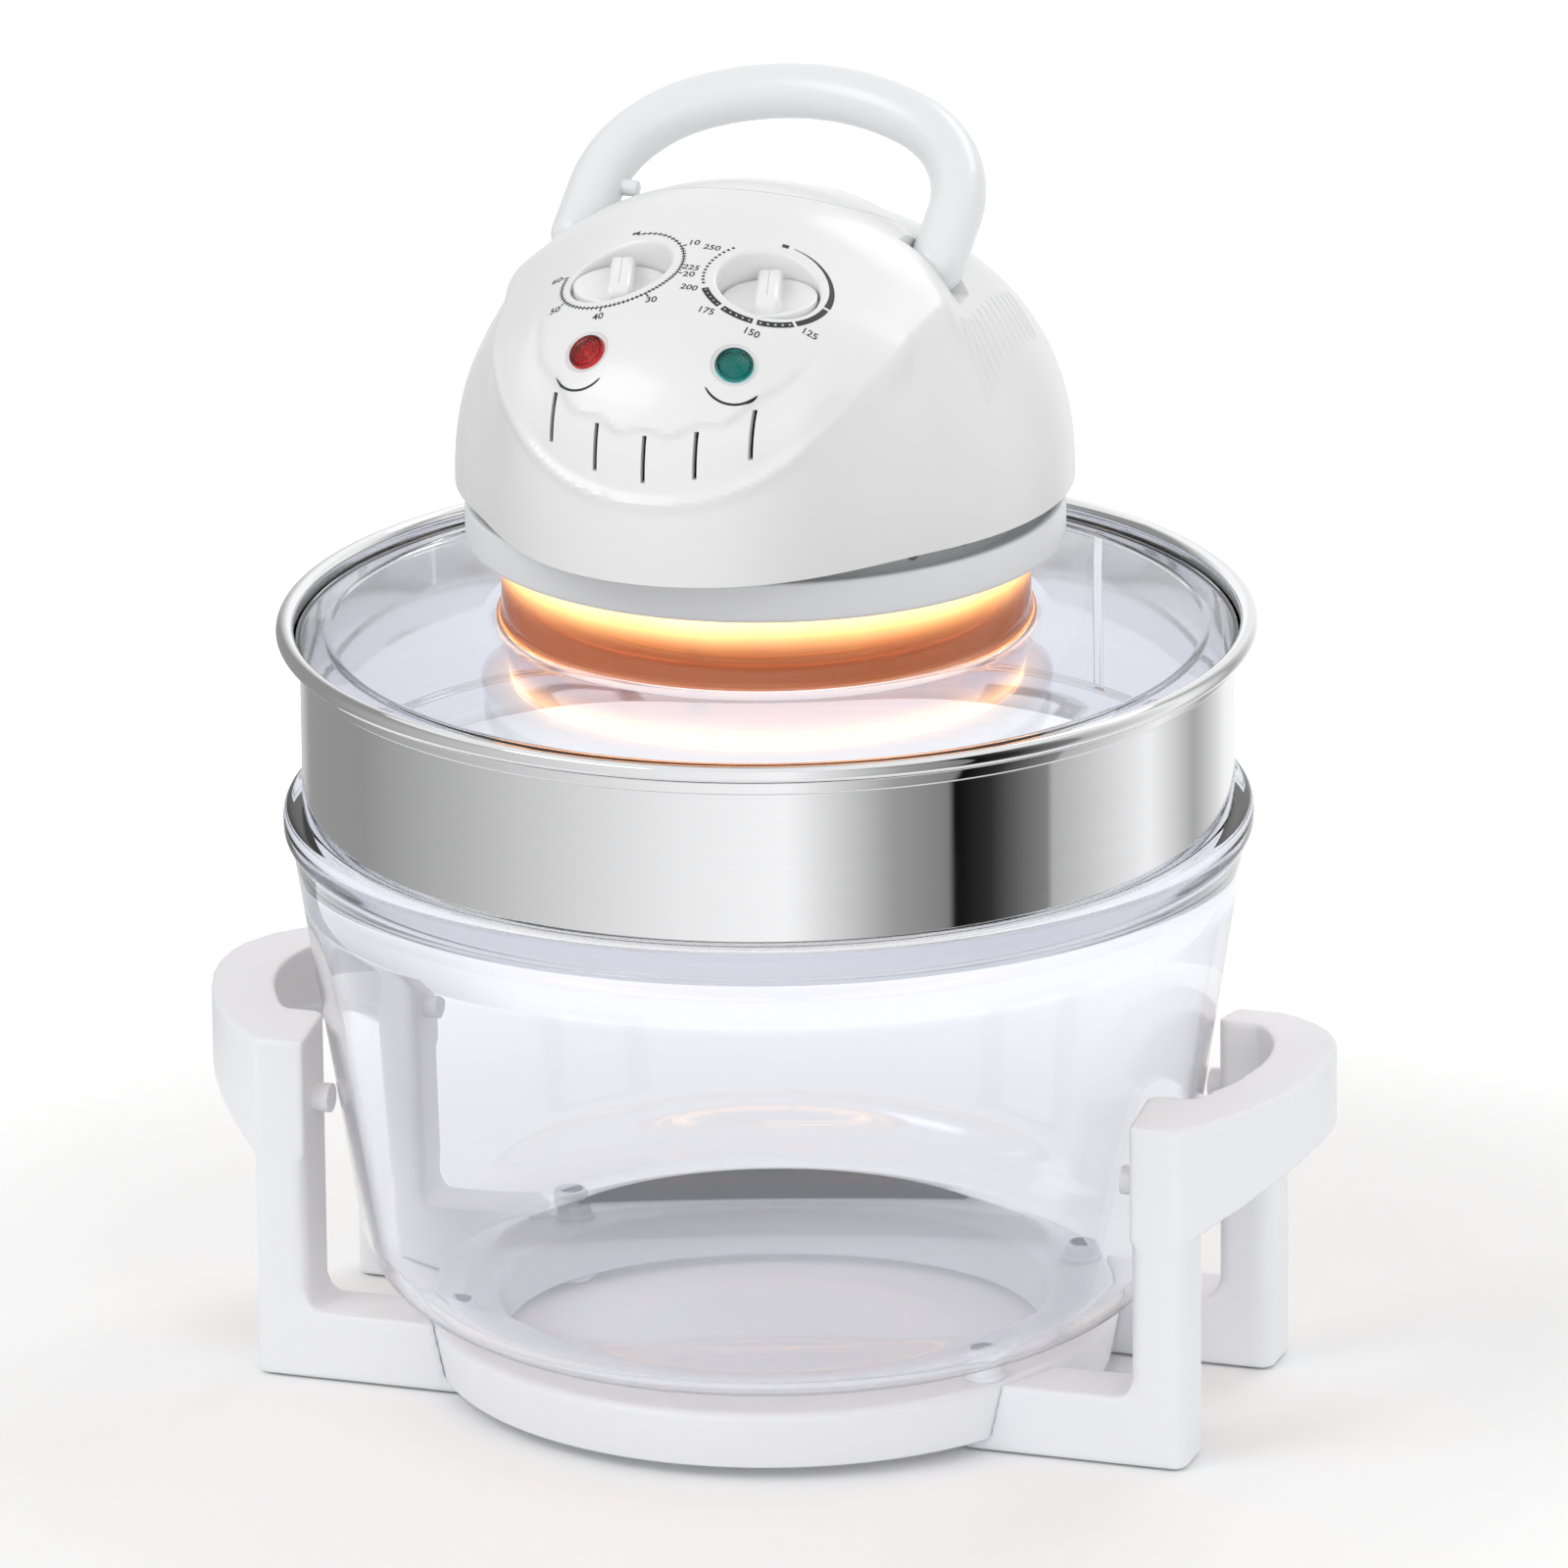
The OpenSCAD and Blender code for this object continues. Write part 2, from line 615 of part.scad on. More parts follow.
// Posts under the cover that stand on the deck
cover_post_at = [34, 60];
cover_post_r = 5;
module cover_post_places() {
    for (i = [-1, 1]) translate([i * cover_post_at[0], cover_post_at[1], 0]) children();
}

// Wells in the panel that the knobs are sunk in
disc_h = 3;
knob_gap = 0.8;
well_depth = knob_sink + disc_h + knob_gap;
well_wall = 2;
module knob_wells(grow) {
    for (i = [-1, 1]) on_shaft(i * dial_x) translate([0, 0, -well_depth - grow])
        cylinder(h = 30, r = knob_r + knob_gap + grow, $fn = 72);
}

// The housing's wall before it is split and drilled
module head_wall() {
    difference() {
        head_body(0, 0, 96, 22, 0);
        difference() {
            head_body(wall, 5, 60, 12, 0.3);
            pocket_block(pocket_wall);
            knob_wells(well_wall);
            translate([0, 0, deck_top]) {
                boss_places() cylinder(h = 60, r = boss_r);
                cover_post_places() cylinder(h = 90, r = cover_post_r);
            }
            pivot_bosses();
        }
        pocket_block(0);
        knob_wells(0);
    }
}

gland_z = skirt_z + 15;
gland_r = 7;
bush_r = 5;
module front_housing() {
    color(white) difference() {
        head_wall();
        translate([0, 0, skirt_z + 40]) linear_extrude(100) cover_plan(0.2);
        for (i = [-1, 1]) {
            on_shaft(i * dial_x) cylinder(h = 40, r = bush_r + fit, center = true);
            on_skin(i * dial_x, -lamp_y) {
                cylinder(h = 20, r = lamp_r + fit, center = true);
                translate([0, 0, -0.8]) cylinder(h = 10, r = lamp_r + 1.4);
            }
        }
        for (i = [-2 : 2]) translate([i * vent_pitch - vent_w / 2, -lip_reach - 5,
            skirt_z + 35 + 2.1 * i * i]) cube([vent_w, 26, 15.5]);
        translate([0, pivot_y, pivot_z]) rotate([0, 90, 0])
            cylinder(h = 2 * pocket_in + 1, r = pin_r + 0.02, center = true);
        translate([plunger_x, plunger_y, switch_top]) cylinder(h = 60, r = plunger_r + 0.15);
        translate([0, 0, deck_top - 1]) linear_extrude(skirt_z + 45 - deck_top) cover_plan(0);
        translate([0, dome_r - 15, gland_z]) rotate([-90, 0, 0]) cylinder(h = 30, r = gland_r + fit);
        translate([0, 0, deck_top - 1]) boss_places() cylinder(h = 16, r = screw_r + fit);
    }
}

module rear_cover() {
    color(white) difference() {
        intersection() {
            head_wall();
            union() {
                translate([0, 0, skirt_z + 40]) linear_extrude(100) cover_plan(0);
                cover_post_places() cylinder(h = skirt_z + 60, r = cover_post_r + 1);
            }
        }
        translate([0, 0, deck_top - 1]) cover_post_places() cylinder(h = 16, r = screw_r + fit);
    }
}

// Inside of the neck, from the guard below to the pan above
pan_z = collar_z + 2.5;
shield_z = pan_z + 10;
heater_z = pan_z - 11;
guard_z = neck_foot_z + 4;
heater_r = tub_r - heater_in;
guard_r = tub_r - 4;
guard_post_at = guard_r - 4;
guard_t = 1.5;
wire_w = 2.5;
heater_gap = 12;
module reflector_pan() {
    color("gainsboro") difference() {
        translate([0, 0, pan_z]) cylinder(h = 1, r = tub_r - 0.2, $fn = 180);
        translate([0, 0, pan_z - 1]) cylinder(h = 4, r = shaft_r + 3);
    }
}

module heat_shield() {
    color("tan") difference() {
        translate([0, 0, shield_z]) cylinder(h = 1.5, r = tub_r - 2, $fn = 120);
        translate([0, 0, shield_z - 1]) {
            cylinder(h = 4, r = shaft_r + 3);
            four_round(45) translate([post_at, 0]) cylinder(h = 4, r = post_r + fit);
        }
    }
}

module deck_pillars() {
    color(steel) four_round(45) translate([post_at, 0, 0]) {
        translate([0, 0, pan_z + 1]) cylinder(h = shield_z - pan_z - 1, r = post_r + 1.5);
        translate([0, 0, shield_z]) cylinder(h = skirt_z - shield_z, r = post_r);
    }
}

module heater_ring(r) {
    translate([0, 0, heater_z]) rotate(90 + heater_gap) rotate_extrude(angle = 360 - 2 * heater_gap)
        translate([heater_r, 0]) circle(r, $fn = 32);
}

module heater_tube() {
    color("orange") heater_ring(quartz_r);
}

module heater_end_caps() {
    color("ivory") difference() {
        for (i = [-1, 1]) rotate(90 + i * (heater_gap - 2)) translate([heater_r, 0, heater_z - 7])
            cylinder(h = pan_z - heater_z + 7, r = quartz_r + 2);
        heater_ring(quartz_r + fit);
    }
}

module heater_clips() {
    color(steel) difference() {
        for (a = [-25, 205, 270]) rotate(a) translate([heater_r, 0, heater_z]) {
            rotate([90, 0, 0]) cylinder(h = 5, r = quartz_r + 1, center = true);
            translate([-2, -2.5, quartz_r]) cube([4, 5, pan_z - heater_z - quartz_r]);
        }
        heater_ring(quartz_r + fit);
    }
}

module fan_guard() {
    ring_pitch = guard_r / 7;
    color(steel) translate([0, 0, guard_z - guard_t / 2]) linear_extrude(guard_t) difference() {
        circle(guard_r);
        difference() {
            for (i = [1 : 6]) difference() {
                circle(guard_r - ring_pitch * (i - 1) - wire_w);
                circle(guard_r - ring_pitch * i);
            }
            for (i = [0 : 3]) rotate(45 * i) square([2 * guard_r, wire_w], center = true);
            four_round(0) translate([guard_post_at, 0]) circle(4.5);
        }
    }
}

module guard_posts() {
    color(steel) four_round(0) translate([guard_post_at, 0, guard_z + guard_t / 2])
        cylinder(h = pan_z - guard_z - guard_t / 2, r = 2);
}

// Motor on the deck
bridge_z = deck_top + 12;
core_h = 20;
core_w = 2 * motor_x + 10;
core_d = 48;
rotor_r = 15.6;
bridge_t = 3;
bridge_d = 14;
top_bridge_z = bridge_z + core_h + 4;
module motor_screw_holes() {
    for (i = [-1, 1]) translate([i * motor_x, 0, skirt_z - 5])
        cylinder(h = 60, r = motor_screw_r + fit);
}

module bearing_bridge(z, leg_h) {
    difference() {
        union() {
            translate([-core_w / 2, -bridge_d / 2, z - bridge_t]) cube([core_w, bridge_d, bridge_t]);
            for (i = [-1, 1]) translate([i * motor_x - 5, -bridge_d / 2, z - bridge_t - leg_h])
                cube([10, bridge_d, leg_h + 1]);
            translate([0, 0, z - bridge_t]) cylinder(h = bridge_t, r = 9);
        }
        motor_screw_holes();
        translate([0, 0, z - 10]) cylinder(h = 20, r = shaft_r + fit);
    }
}

module lower_bearing_bracket() {
    color(steel) bearing_bridge(bridge_z, bridge_z - bridge_t - deck_top);
}

module upper_bearing_bracket() {
    color(steel) bearing_bridge(top_bridge_z + bridge_t, top_bridge_z - bridge_z - core_h);
}

module motor_stator() {
    color(dark_steel) difference() {
        translate([-core_w / 2, -core_d / 2 + 6, bridge_z]) cube([core_w, core_d, core_h]);
        translate([0, 0, bridge_z - 1]) cylinder(h = core_h + 2, r = rotor_r + 0.6);
        translate([-14, core_d / 2 - 5, bridge_z - 1]) cube([28, 20, core_h + 2]);
        motor_screw_holes();
    }
}

module motor_coil() {
    color("chocolate") translate([-13.7, core_d / 2 - 4.7, bridge_z - 4]) cube([27.4, 16, core_h + 8]);
}

module motor_screws() {
    color(steel) for (i = [-1, 1]) translate([i * motor_x, 0, 0]) {
        translate([0, 0, skirt_z - 2]) cylinder(h = 2, r = 4);
        translate([0, 0, skirt_z - 1])
            cylinder(h = top_bridge_z + bridge_t - skirt_z + 3, r = motor_screw_r);
        translate([0, 0, top_bridge_z + bridge_t]) cylinder(h = 3, r = 4);
    }
}

fan_low_z = pan_z - 8;
fan_top_z = top_bridge_z + bridge_t + 6;
fan_t = 9;
module motor_shaft() {
    color(steel) translate([0, 0, fan_low_z - 9])
        cylinder(h = fan_top_z + fan_t + 3 - fan_low_z + 9, r = shaft_r);
}

module motor_rotor() {
    color(dark_steel) difference() {
        translate([0, 0, bridge_z + 1]) cylinder(h = core_h - 2, r = rotor_r);
        translate([0, 0, bridge_z]) cylinder(h = core_h + 2, r = shaft_r);
    }
}

module cooling_fan() {
    color("lightgray") difference() {
        union() {
            translate([0, 0, fan_top_z]) cylinder(h = fan_t, r = 9);
            intersection() {
                for (i = [0 : 6]) rotate(360 / 7 * i) translate([0, 0, fan_top_z + fan_t / 2])
                    rotate([28, 0, 0]) translate([4, -8, -0.7]) cube([60, 16, 1.4]);
                translate([0, 0, fan_top_z]) cylinder(h = fan_t, r = cool_fan_r);
            }
        }
        translate([0, 0, fan_top_z - 1]) cylinder(h = fan_t + 2, r = shaft_r);
    }
}

module convection_fan() {
    color(steel) difference() {
        union() {
            translate([0, 0, fan_low_z]) cylinder(h = 1.2, r = hot_fan_r * 0.8);
            translate([0, 0, fan_low_z - 7]) cylinder(h = 8, r = 7);
            for (i = [0 : 7]) rotate(45 * i) translate([6, -0.6, fan_low_z - 7])
                cube([hot_fan_r - 6, 1.2, 8]);
        }
        translate([0, 0, fan_low_z - 9]) cylinder(h = 14, r = shaft_r);
    }
}

// Controls: each unit hangs under its well by the threaded bush that its shaft
// runs in, and the knob sits on the shaft in the well
unit_top = -well_depth - well_wall - 1.2;
unit_h = 20;
control_shaft_r = 3;
knob_lift = -knob_sink - disc_h;
module control_unit(w, d) {
    difference() {
        union() {
            translate([-w / 2, -d / 2, unit_top - unit_h]) cube([w, d, unit_h]);
            translate([0, 0, unit_top - 1])
                cylinder(h = 1.4 - well_depth - unit_top, r = bush_r);
        }
        translate([0, 0, unit_top - 14]) cylinder(h = 30, r = control_shaft_r + fit);
    }
}

module control_shaft() {
    translate([0, 0, unit_top - 13]) cylinder(h = 13 - unit_top + knob_lift + disc_h, r = control_shaft_r);
}

// A disc with a hollow face, and a rounded bar across it to turn it by
module control_knob() {
    bar_w = 8.5;
    bar_l = 2 * (knob_r - 1.2);
    dish = 0.8;
    translate([0, 0, knob_lift]) difference() {
        union() {
            difference() {
                cylinder(h = disc_h, r = knob_r);
                translate([0, 0, disc_h - dish])
                    cylinder(h = dish + eps, r1 = knob_r - 5, r2 = knob_r - 1);
            }
            intersection() {
                linear_extrude(disc_h + grip_h) round_plan(bar_w, bar_l, 3);
                translate([0, 0, disc_h + grip_h - 40]) rotate([0, 90, 0])
                    cylinder(h = 40, r = 40, center = true, $fn = 180);
            }
        }
        translate([0, 0, -1]) cylinder(h = disc_h + 1, r = control_shaft_r);
    }
}

module timer_unit() { color("dimgray") on_shaft(-dial_x) control_unit(30, 32); }
module timer_shaft() { color(steel) on_shaft(-dial_x) control_shaft(); }
module timer_knob() {
    color("white") on_shaft(-dial_x) rotate(timer_turn) control_knob();
}

module thermostat_unit() { color("dimgray") on_shaft(dial_x) control_unit(28, 30); }
module thermostat_shaft() { color(steel) on_shaft(dial_x) control_shaft(); }
module thermostat_knob() {
    color("white") on_shaft(dial_x) rotate(thermostat_turn) control_knob();
}

bulb_r = 2.4;
module thermostat_bulb() {
    color(steel) translate([(hot_fan_r + heater_r - quartz_r) / 2, 20, pan_z - bulb_r]) rotate([90, 0, 0])
        cylinder(h = 40, r = bulb_r);
}

// Lamps: a domed lens in the panel, with a neon bulb's holder behind it
module lamp_lens() {
    translate([0, 0, -3]) cylinder(h = 3, r = lamp_r);
    intersection() {
        translate([0, 0, 1.5 - 15]) sphere(15);
        translate([0, 0, -1]) cylinder(h = 6, r = lamp_r);
    }
}

module power_lamp_lens() { color("firebrick") on_skin(-dial_x, -lamp_y) lamp_lens(); }
module heat_lamp_lens() { color("seagreen") on_skin(dial_x, -lamp_y) lamp_lens(); }
module lamp_holders() {
    color("ivory") for (i = [-1, 1]) on_skin(i * dial_x, -lamp_y) translate([0, 0, -17])
        cylinder(h = 14, r = lamp_r - 1);
}

module micro_switch() {
    color("black") difference() {
        translate([plunger_x - 3, plunger_y - 10, switch_top - 10]) cube([6, 20, 10]);
        translate([plunger_x, plunger_y, switch_top - plunger_in - 1])
            cylinder(h = plunger_in + 2, r = plunger_r + fit);
    }
}

module switch_plunger() {
    color("red") translate([plunger_x, plunger_y, switch_top - plunger_in])
        cylinder(h = plunger_tip - switch_top + plunger_in, r = plunger_r);
}

module terminal_block() {
    color("ivory") difference() {
        translate([-15, 62, deck_top]) cube([30, 14, 12]);
        for (i = [-1 : 1]) translate([9 * i, 69, deck_top + 4]) cylinder(h = 10, r = 2.2, $fn = 24);
    }
}

module cord_gland() {
    color("black") translate([0, dome_r - 10, gland_z]) rotate([-90, 0, 0]) difference() {
        union() {
            cylinder(h = 18, r = gland_r);
            cylinder(h = 3, r = gland_r + 2);
            translate([0, 0, 12]) cylinder(h = 6, r = gland_r + 2);
        }
        translate([0, 0, -1]) cylinder(h = 30, r = cord_hole_r);
    }
}

// Handle: two legs and a three-centred arch, lying back over the dome
leg_up = 21.6;
arch_m = handle_reach - leg_up;
corner_r = 0.927 * arch_m;
arch_a = grip_half - corner_r;
top_r = (pow(arch_a, 2) + pow(arch_m, 2) - pow(corner_r, 2)) / (2 * (arch_m - corner_r));
turn_a = atan2(top_r - arch_m, arch_a);
joint_swell = 0.05;
module handle() {
    color(white) translate([0, pivot_y, pivot_z]) rotate([handle_rest - 90, 0, 0]) difference() {
        union() {
            translate([0, 0, handle_reach - top_r]) rotate([90, 0, 0]) rotate(turn_a)
                rotate_extrude(angle = 180 - 2 * turn_a, $fn = 180)
                    translate([top_r, 0]) circle(tube_r, $fn = 48);
            for (i = [0, 1]) mirror([i, 0, 0]) {
                translate([arch_a, 0, leg_up]) rotate([90, 0, 0])
                    rotate_extrude(angle = turn_a) translate([corner_r, 0]) circle(tube_r, $fn = 48);
                translate([grip_half, 0, leg_up]) sphere(tube_r + joint_swell, $fn = 48);
                translate([arch_a + corner_r * cos(turn_a), 0, leg_up + corner_r * sin(turn_a)])
                    sphere(tube_r + joint_swell, $fn = 48);
                translate([grip_half, 0, 0]) cylinder(h = leg_up, r = tube_r, $fn = 48);
                translate([grip_half, 0, 0]) sphere(tube_r + joint_swell, $fn = 48);
            }
            translate([-grip_half, 0, peg_up]) rotate([0, 90, 0])
                cylinder(h = tube_r + 5.5, r = peg_out_r);
        }
        for (i = [0, 1]) mirror([i, 0, 0]) rotate([0, 90, 0])
            cylinder(h = grip_half + 4, r = pin_r + fit);
    }
}

module handle_pins() {
    color(steel) for (i = [0, 1]) mirror([i, 0, 0])
        translate([pocket_in - pin_in, pivot_y, pivot_z]) rotate([0, 90, 0])
            cylinder(h = grip_half + 3.5 - pocket_in + pin_in, r = pin_r);
}

module housing_screw() {
    translate([0, 0, skirt_z - 1.8]) {
        cylinder(h = 1.8, r = screw_head_r);
        cylinder(h = 16, r = screw_r);
    }
}

module housing_screws() {
    color(steel) {
        boss_places() housing_screw();
        cover_post_places() housing_screw();
    }
}

base_ring();
side_frame_left();
side_frame_right();
bowl_rest_pegs();
side_bumpers();
foot_pads();
stand_screws();
glass_bowl();
extender_ring();
glass_lid();
lid_collar();
motor_deck();
front_housing();
rear_cover();
reflector_pan();
heat_shield();
deck_pillars();
heater_tube();
heater_end_caps();
heater_clips();
fan_guard();
guard_posts();
motor_stator();
motor_coil();
lower_bearing_bracket();
upper_bearing_bracket();
motor_screws();
motor_shaft();
motor_rotor();
cooling_fan();
convection_fan();
timer_unit();
timer_shaft();
timer_knob();
thermostat_unit();
thermostat_shaft();
thermostat_knob();
thermostat_bulb();
power_lamp_lens();
heat_lamp_lens();
lamp_holders();
micro_switch();
switch_plunger();
terminal_block();
cord_gland();
handle();
handle_pins();
housing_screws();
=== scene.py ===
"""Table-top halogen oven, dressed for a photograph.

Sizes are in millimetres and go to metres when a mesh is made. +Z is up, the origin
is on the table under the bowl's axis, and the control panel faces -Y.
"""
import logging
import math
from dataclasses import dataclass, field
from enum import Enum
from typing import ClassVar

import bmesh
import bpy
import numpy as np
from mathutils import Euler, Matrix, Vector


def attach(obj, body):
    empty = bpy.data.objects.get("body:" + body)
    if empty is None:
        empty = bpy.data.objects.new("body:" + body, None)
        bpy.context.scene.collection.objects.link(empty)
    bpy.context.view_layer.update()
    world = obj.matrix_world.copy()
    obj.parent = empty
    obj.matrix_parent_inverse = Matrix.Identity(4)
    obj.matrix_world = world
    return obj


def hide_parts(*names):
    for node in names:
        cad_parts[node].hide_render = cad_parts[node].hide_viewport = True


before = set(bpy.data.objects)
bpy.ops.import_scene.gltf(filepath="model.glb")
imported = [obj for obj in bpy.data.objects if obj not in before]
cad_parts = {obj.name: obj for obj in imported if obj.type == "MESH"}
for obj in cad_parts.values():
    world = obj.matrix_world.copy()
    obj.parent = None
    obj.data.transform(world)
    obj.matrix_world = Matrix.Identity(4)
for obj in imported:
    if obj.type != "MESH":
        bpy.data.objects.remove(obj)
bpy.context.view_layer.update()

MM = 0.001
TURN = 2 * math.pi
Array = np.ndarray
log = logging.getLogger("halogen_oven")


class Body(Enum):
    """Moving bodies that a piece can ride on."""

    STAND = "stand"
    BOWL = "bowl"
    EXTENDER = "extender"
    LID = "lid"
    HANDLE = "handle"
    TIMER = "timer_dial"
    THERMOSTAT = "thermostat_dial"
    FAN = "fan_rotor"
    PLUNGER = "plunger"


class Cut(Enum):
    """What a cutter does to the body that it meets."""

    OUT = "DIFFERENCE"
    KEEP = "INTERSECT"
    ADD = "UNION"


# Meshes


@dataclass
class Patch:
    """Points in millimetres and the faces that join them.

    Attributes:
        points: One row of x, y and z for each point.
        faces: Arrays of point numbers, one for quads and one for triangles at most.
    """

    points: Array
    faces: list[Array]

    def moved(self, matrix: Array, place: Array) -> "Patch":
        """Turns the patch by a matrix and moves it to a place."""
        return Patch(self.points @ np.asarray(matrix).T + np.asarray(place), self.faces)

    def flipped(self) -> "Patch":
        """The same patch with its faces turned round."""
        return Patch(self.points, [f[:, ::-1] for f in self.faces])

    def mirrored(self) -> "Patch":
        """The patch on the other side of the plane x = 0, still facing outwards."""
        return Patch(self.points * np.array([-1.0, 1.0, 1.0]), self.faces).flipped()


def join(*patches: Patch) -> Patch:
    """Puts patches into one, each with its point numbers moved up.

    Returns:
        One patch with all the points and faces.
    """
    starts = np.cumsum([0] + [len(p.points) for p in patches[:-1]])
    faces = [f + s for p, s in zip(patches, starts) for f in p.faces]
    return Patch(np.vstack([p.points for p in patches]), faces)


def grid(points: Array, wrap_rows: bool = False, wrap_columns: bool = True) -> Patch:
    """Quads over a grid of points: each point joins the next in its row and column.

    Args:
        points: Grid of shape (rows, columns, 3).
        wrap_rows: Whether the last row joins the first.
        wrap_columns: Whether the last column joins the first.

    Returns:
        The patch, facing out where rows go up and columns run against the clock.
    """
    rows, columns = points.shape[:2]
    number = np.arange(rows * columns).reshape(rows, columns)
    if wrap_rows:
        number = np.vstack([number, number[:1]])
    if wrap_columns:
        number = np.hstack([number, number[:, :1]])
    quads = np.stack([number[:-1, :-1], number[:-1, 1:], number[1:, 1:], number[1:, :-1]], -1)
    return Patch(points.reshape(-1, 3), [quads.reshape(-1, 4)])


def soften(corners: Array, cuts: Array, steps: int = 5, closed: bool = True) -> Array:
    """Rounds the corners of a line with arcs that touch both sides of each corner.

    A corner P with unit sides u and v and cut t gives P + u t (1-s)^2 + v t s^2 for
    s from 0 to 1. A cut never passes 0.49 of a side.

    Args:
        corners: Corner places, one row each.
        cuts: Length cut from both sides at each corner.
        steps: Points on each arc.
        closed: Whether the last corner joins the first.

    Returns:
        The rounded line's points.
    """
    corners = np.asarray(corners, float)
    before, after = np.roll(corners, 1, 0) - corners, np.roll(corners, -1, 0) - corners
    size_b = np.linalg.norm(before, axis=1, keepdims=True)
    size_a = np.linalg.norm(after, axis=1, keepdims=True)
    cut = np.minimum(
        np.broadcast_to(cuts, (len(corners),))[:, None], 0.49 * np.minimum(size_b, size_a)
    )
    s = np.linspace(0, 1, steps)[None, :, None]
    arc = corners[:, None] + (before / size_b * cut)[:, None] * (1 - s) ** 2
    arc = arc + (after / size_a * cut)[:, None] * s**2
    if closed:
        return arc.reshape(-1, corners.shape[1])
    middle = arc[1:-1].reshape(-1, corners.shape[1])
    return np.vstack([corners[:1], middle, corners[-1:]])


def lathe(profile: Array, steps: int = 192, closed: bool = True) -> Patch:
    """Turns a profile of radius and height once round the z axis.

    Args:
        profile: Radius and height of each point, against the clock in the r-z plane.
        steps: Places round the axis.
        closed: Whether the profile's last point joins its first.

    Returns:
        The turned patch.
    """
    turn = np.linspace(0, TURN, steps, endpoint=False)[None, :]
    r, z = profile[:, 0][:, None], profile[:, 1][:, None]
    points = np.stack(
        [r * np.cos(turn), r * np.sin(turn), np.broadcast_to(z, (len(profile), steps))], -1
    )
    return grid(points, wrap_rows=closed)


def sweep(
    path: Array, side: Array, radius: Array | float, sides: int = 32, closed: bool = False
) -> Patch:
    """Carries a circle along a flat path.

    A point is path + radius (side cos a + up sin a), where up is square to the side
    and to the path.

    Args:
        path: Places along the path.
        side: Direction square to the path's plane.
        radius: Radius at each place, or one for all.
        sides: Points round the circle.
        closed: Whether the path's end joins its start.

    Returns:
        The tube, with its ends drawn to a point where the radius ends at 0.
    """
    ahead = np.roll(path, -1, 0) - np.roll(path, 1, 0) if closed else np.gradient(path, axis=0)
    ahead = ahead / np.linalg.norm(ahead, axis=1, keepdims=True)
    up = np.cross(ahead, side)
    up = up / np.linalg.norm(up, axis=1, keepdims=True)
    a = np.linspace(0, TURN, sides, endpoint=False)[None, :, None]
    r = np.broadcast_to(radius, (len(path),))[:, None, None]
    ring = np.cos(a) * np.asarray(side)[None, None, :] + np.sin(a) * up[:, None, :]
    return grid(path[:, None, :] + r * ring, wrap_rows=closed)


def slab(low: tuple[float, float, float], high: tuple[float, float, float]) -> Patch:
    """Closed box between two corners, used as a cutter.

    Args:
        low: Corner with the lowest coordinates.
        high: Corner with the highest.

    Returns:
        The box.
    """
    unit = np.array([[x, y, z] for z in (0, 1) for y in (0, 1) for x in (0, 1)], float)
    points = np.asarray(low) + unit * (np.asarray(high) - np.asarray(low))
    faces = [[0, 2, 3, 1], [4, 5, 7, 6], [0, 1, 5, 4], [2, 6, 7, 3], [0, 4, 6, 2], [1, 3, 7, 5]]
    return Patch(points, [np.array(faces)])


def prism(
    outline: Array, start: float, end: float, axes: tuple[int, int, int] = (0, 1, 2)
) -> Patch:
    """Closed prism of a flat outline, carried from start to end along the third axis.

    Args:
        outline: Two coordinates for each corner.
        start: Where the prism begins along its axis.
        end: Where it ends.
        axes: The axes of the outline's two coordinates and of the prism.

    Returns:
        The prism, with its normals worked out later by the mesh.
    """
    count = len(outline)
    points = np.zeros((2 * count, 3))
    points[:, axes[0]] = np.tile(outline[:, 0], 2)
    points[:, axes[1]] = np.tile(outline[:, 1], 2)
    points[:, axes[2]] = np.repeat([start, end], count)
    i = np.arange(count)
    sides = np.stack([i, (i + 1) % count, (i + 1) % count + count, i + count], -1)
    return Patch(points, [sides, i[::-1][None, :], (i + count)[None, :]])


def mesh_object(
    name: str, patch: Patch, finish: "Finish | None" = None, crease: float = 35, mend: bool = True
) -> bpy.types.Object:
    """Makes a mesh object in metres from a patch in millimetres.

    Args:
        name: The piece's name.
        patch: Its points and faces.
        finish: What it is made of.
        crease: Angle in degrees over which an edge stays sharp.
        mend: Whether doubles are merged and the normals worked out.

    Returns:
        The object, linked to the scene.
    """
    mesh = bpy.data.meshes.new(name)
    faces = [f for block in patch.faces for f in block.tolist()]
    mesh.from_pydata((patch.points * MM).tolist(), [], faces)
    if mend:
        work = bmesh.new()
        work.from_mesh(mesh)
        bmesh.ops.remove_doubles(work, verts=work.verts, dist=1e-6)
        bmesh.ops.recalc_face_normals(work, faces=work.faces)
        work.to_mesh(mesh)
        work.free()
    mesh.validate()
    obj = bpy.data.objects.new(name, mesh)
    bpy.context.scene.collection.objects.link(obj)
    return smooth(dress(obj, finish), crease)


def dress(obj: bpy.types.Object, finish: "Finish | None") -> bpy.types.Object:
    """Gives an object one finish, in place of any that it has.

    Args:
        obj: The object.
        finish: What it is made of, or None to leave it as it is.

    Returns:
        The object.
    """
    if finish is not None:
        obj.data.materials.clear()
        obj.data.materials.append(finish.material())
    return obj


def smooth(obj: bpy.types.Object, crease: float = 35) -> bpy.types.Object:
    """Shades an object smooth, apart from edges sharper than the crease angle.

    Args:
        obj: The object.
        crease: Angle in degrees.

    Returns:
        The object.
    """
    obj.data.shade_smooth()
    obj.data.set_sharp_from_angle(angle=math.radians(crease))
    return obj


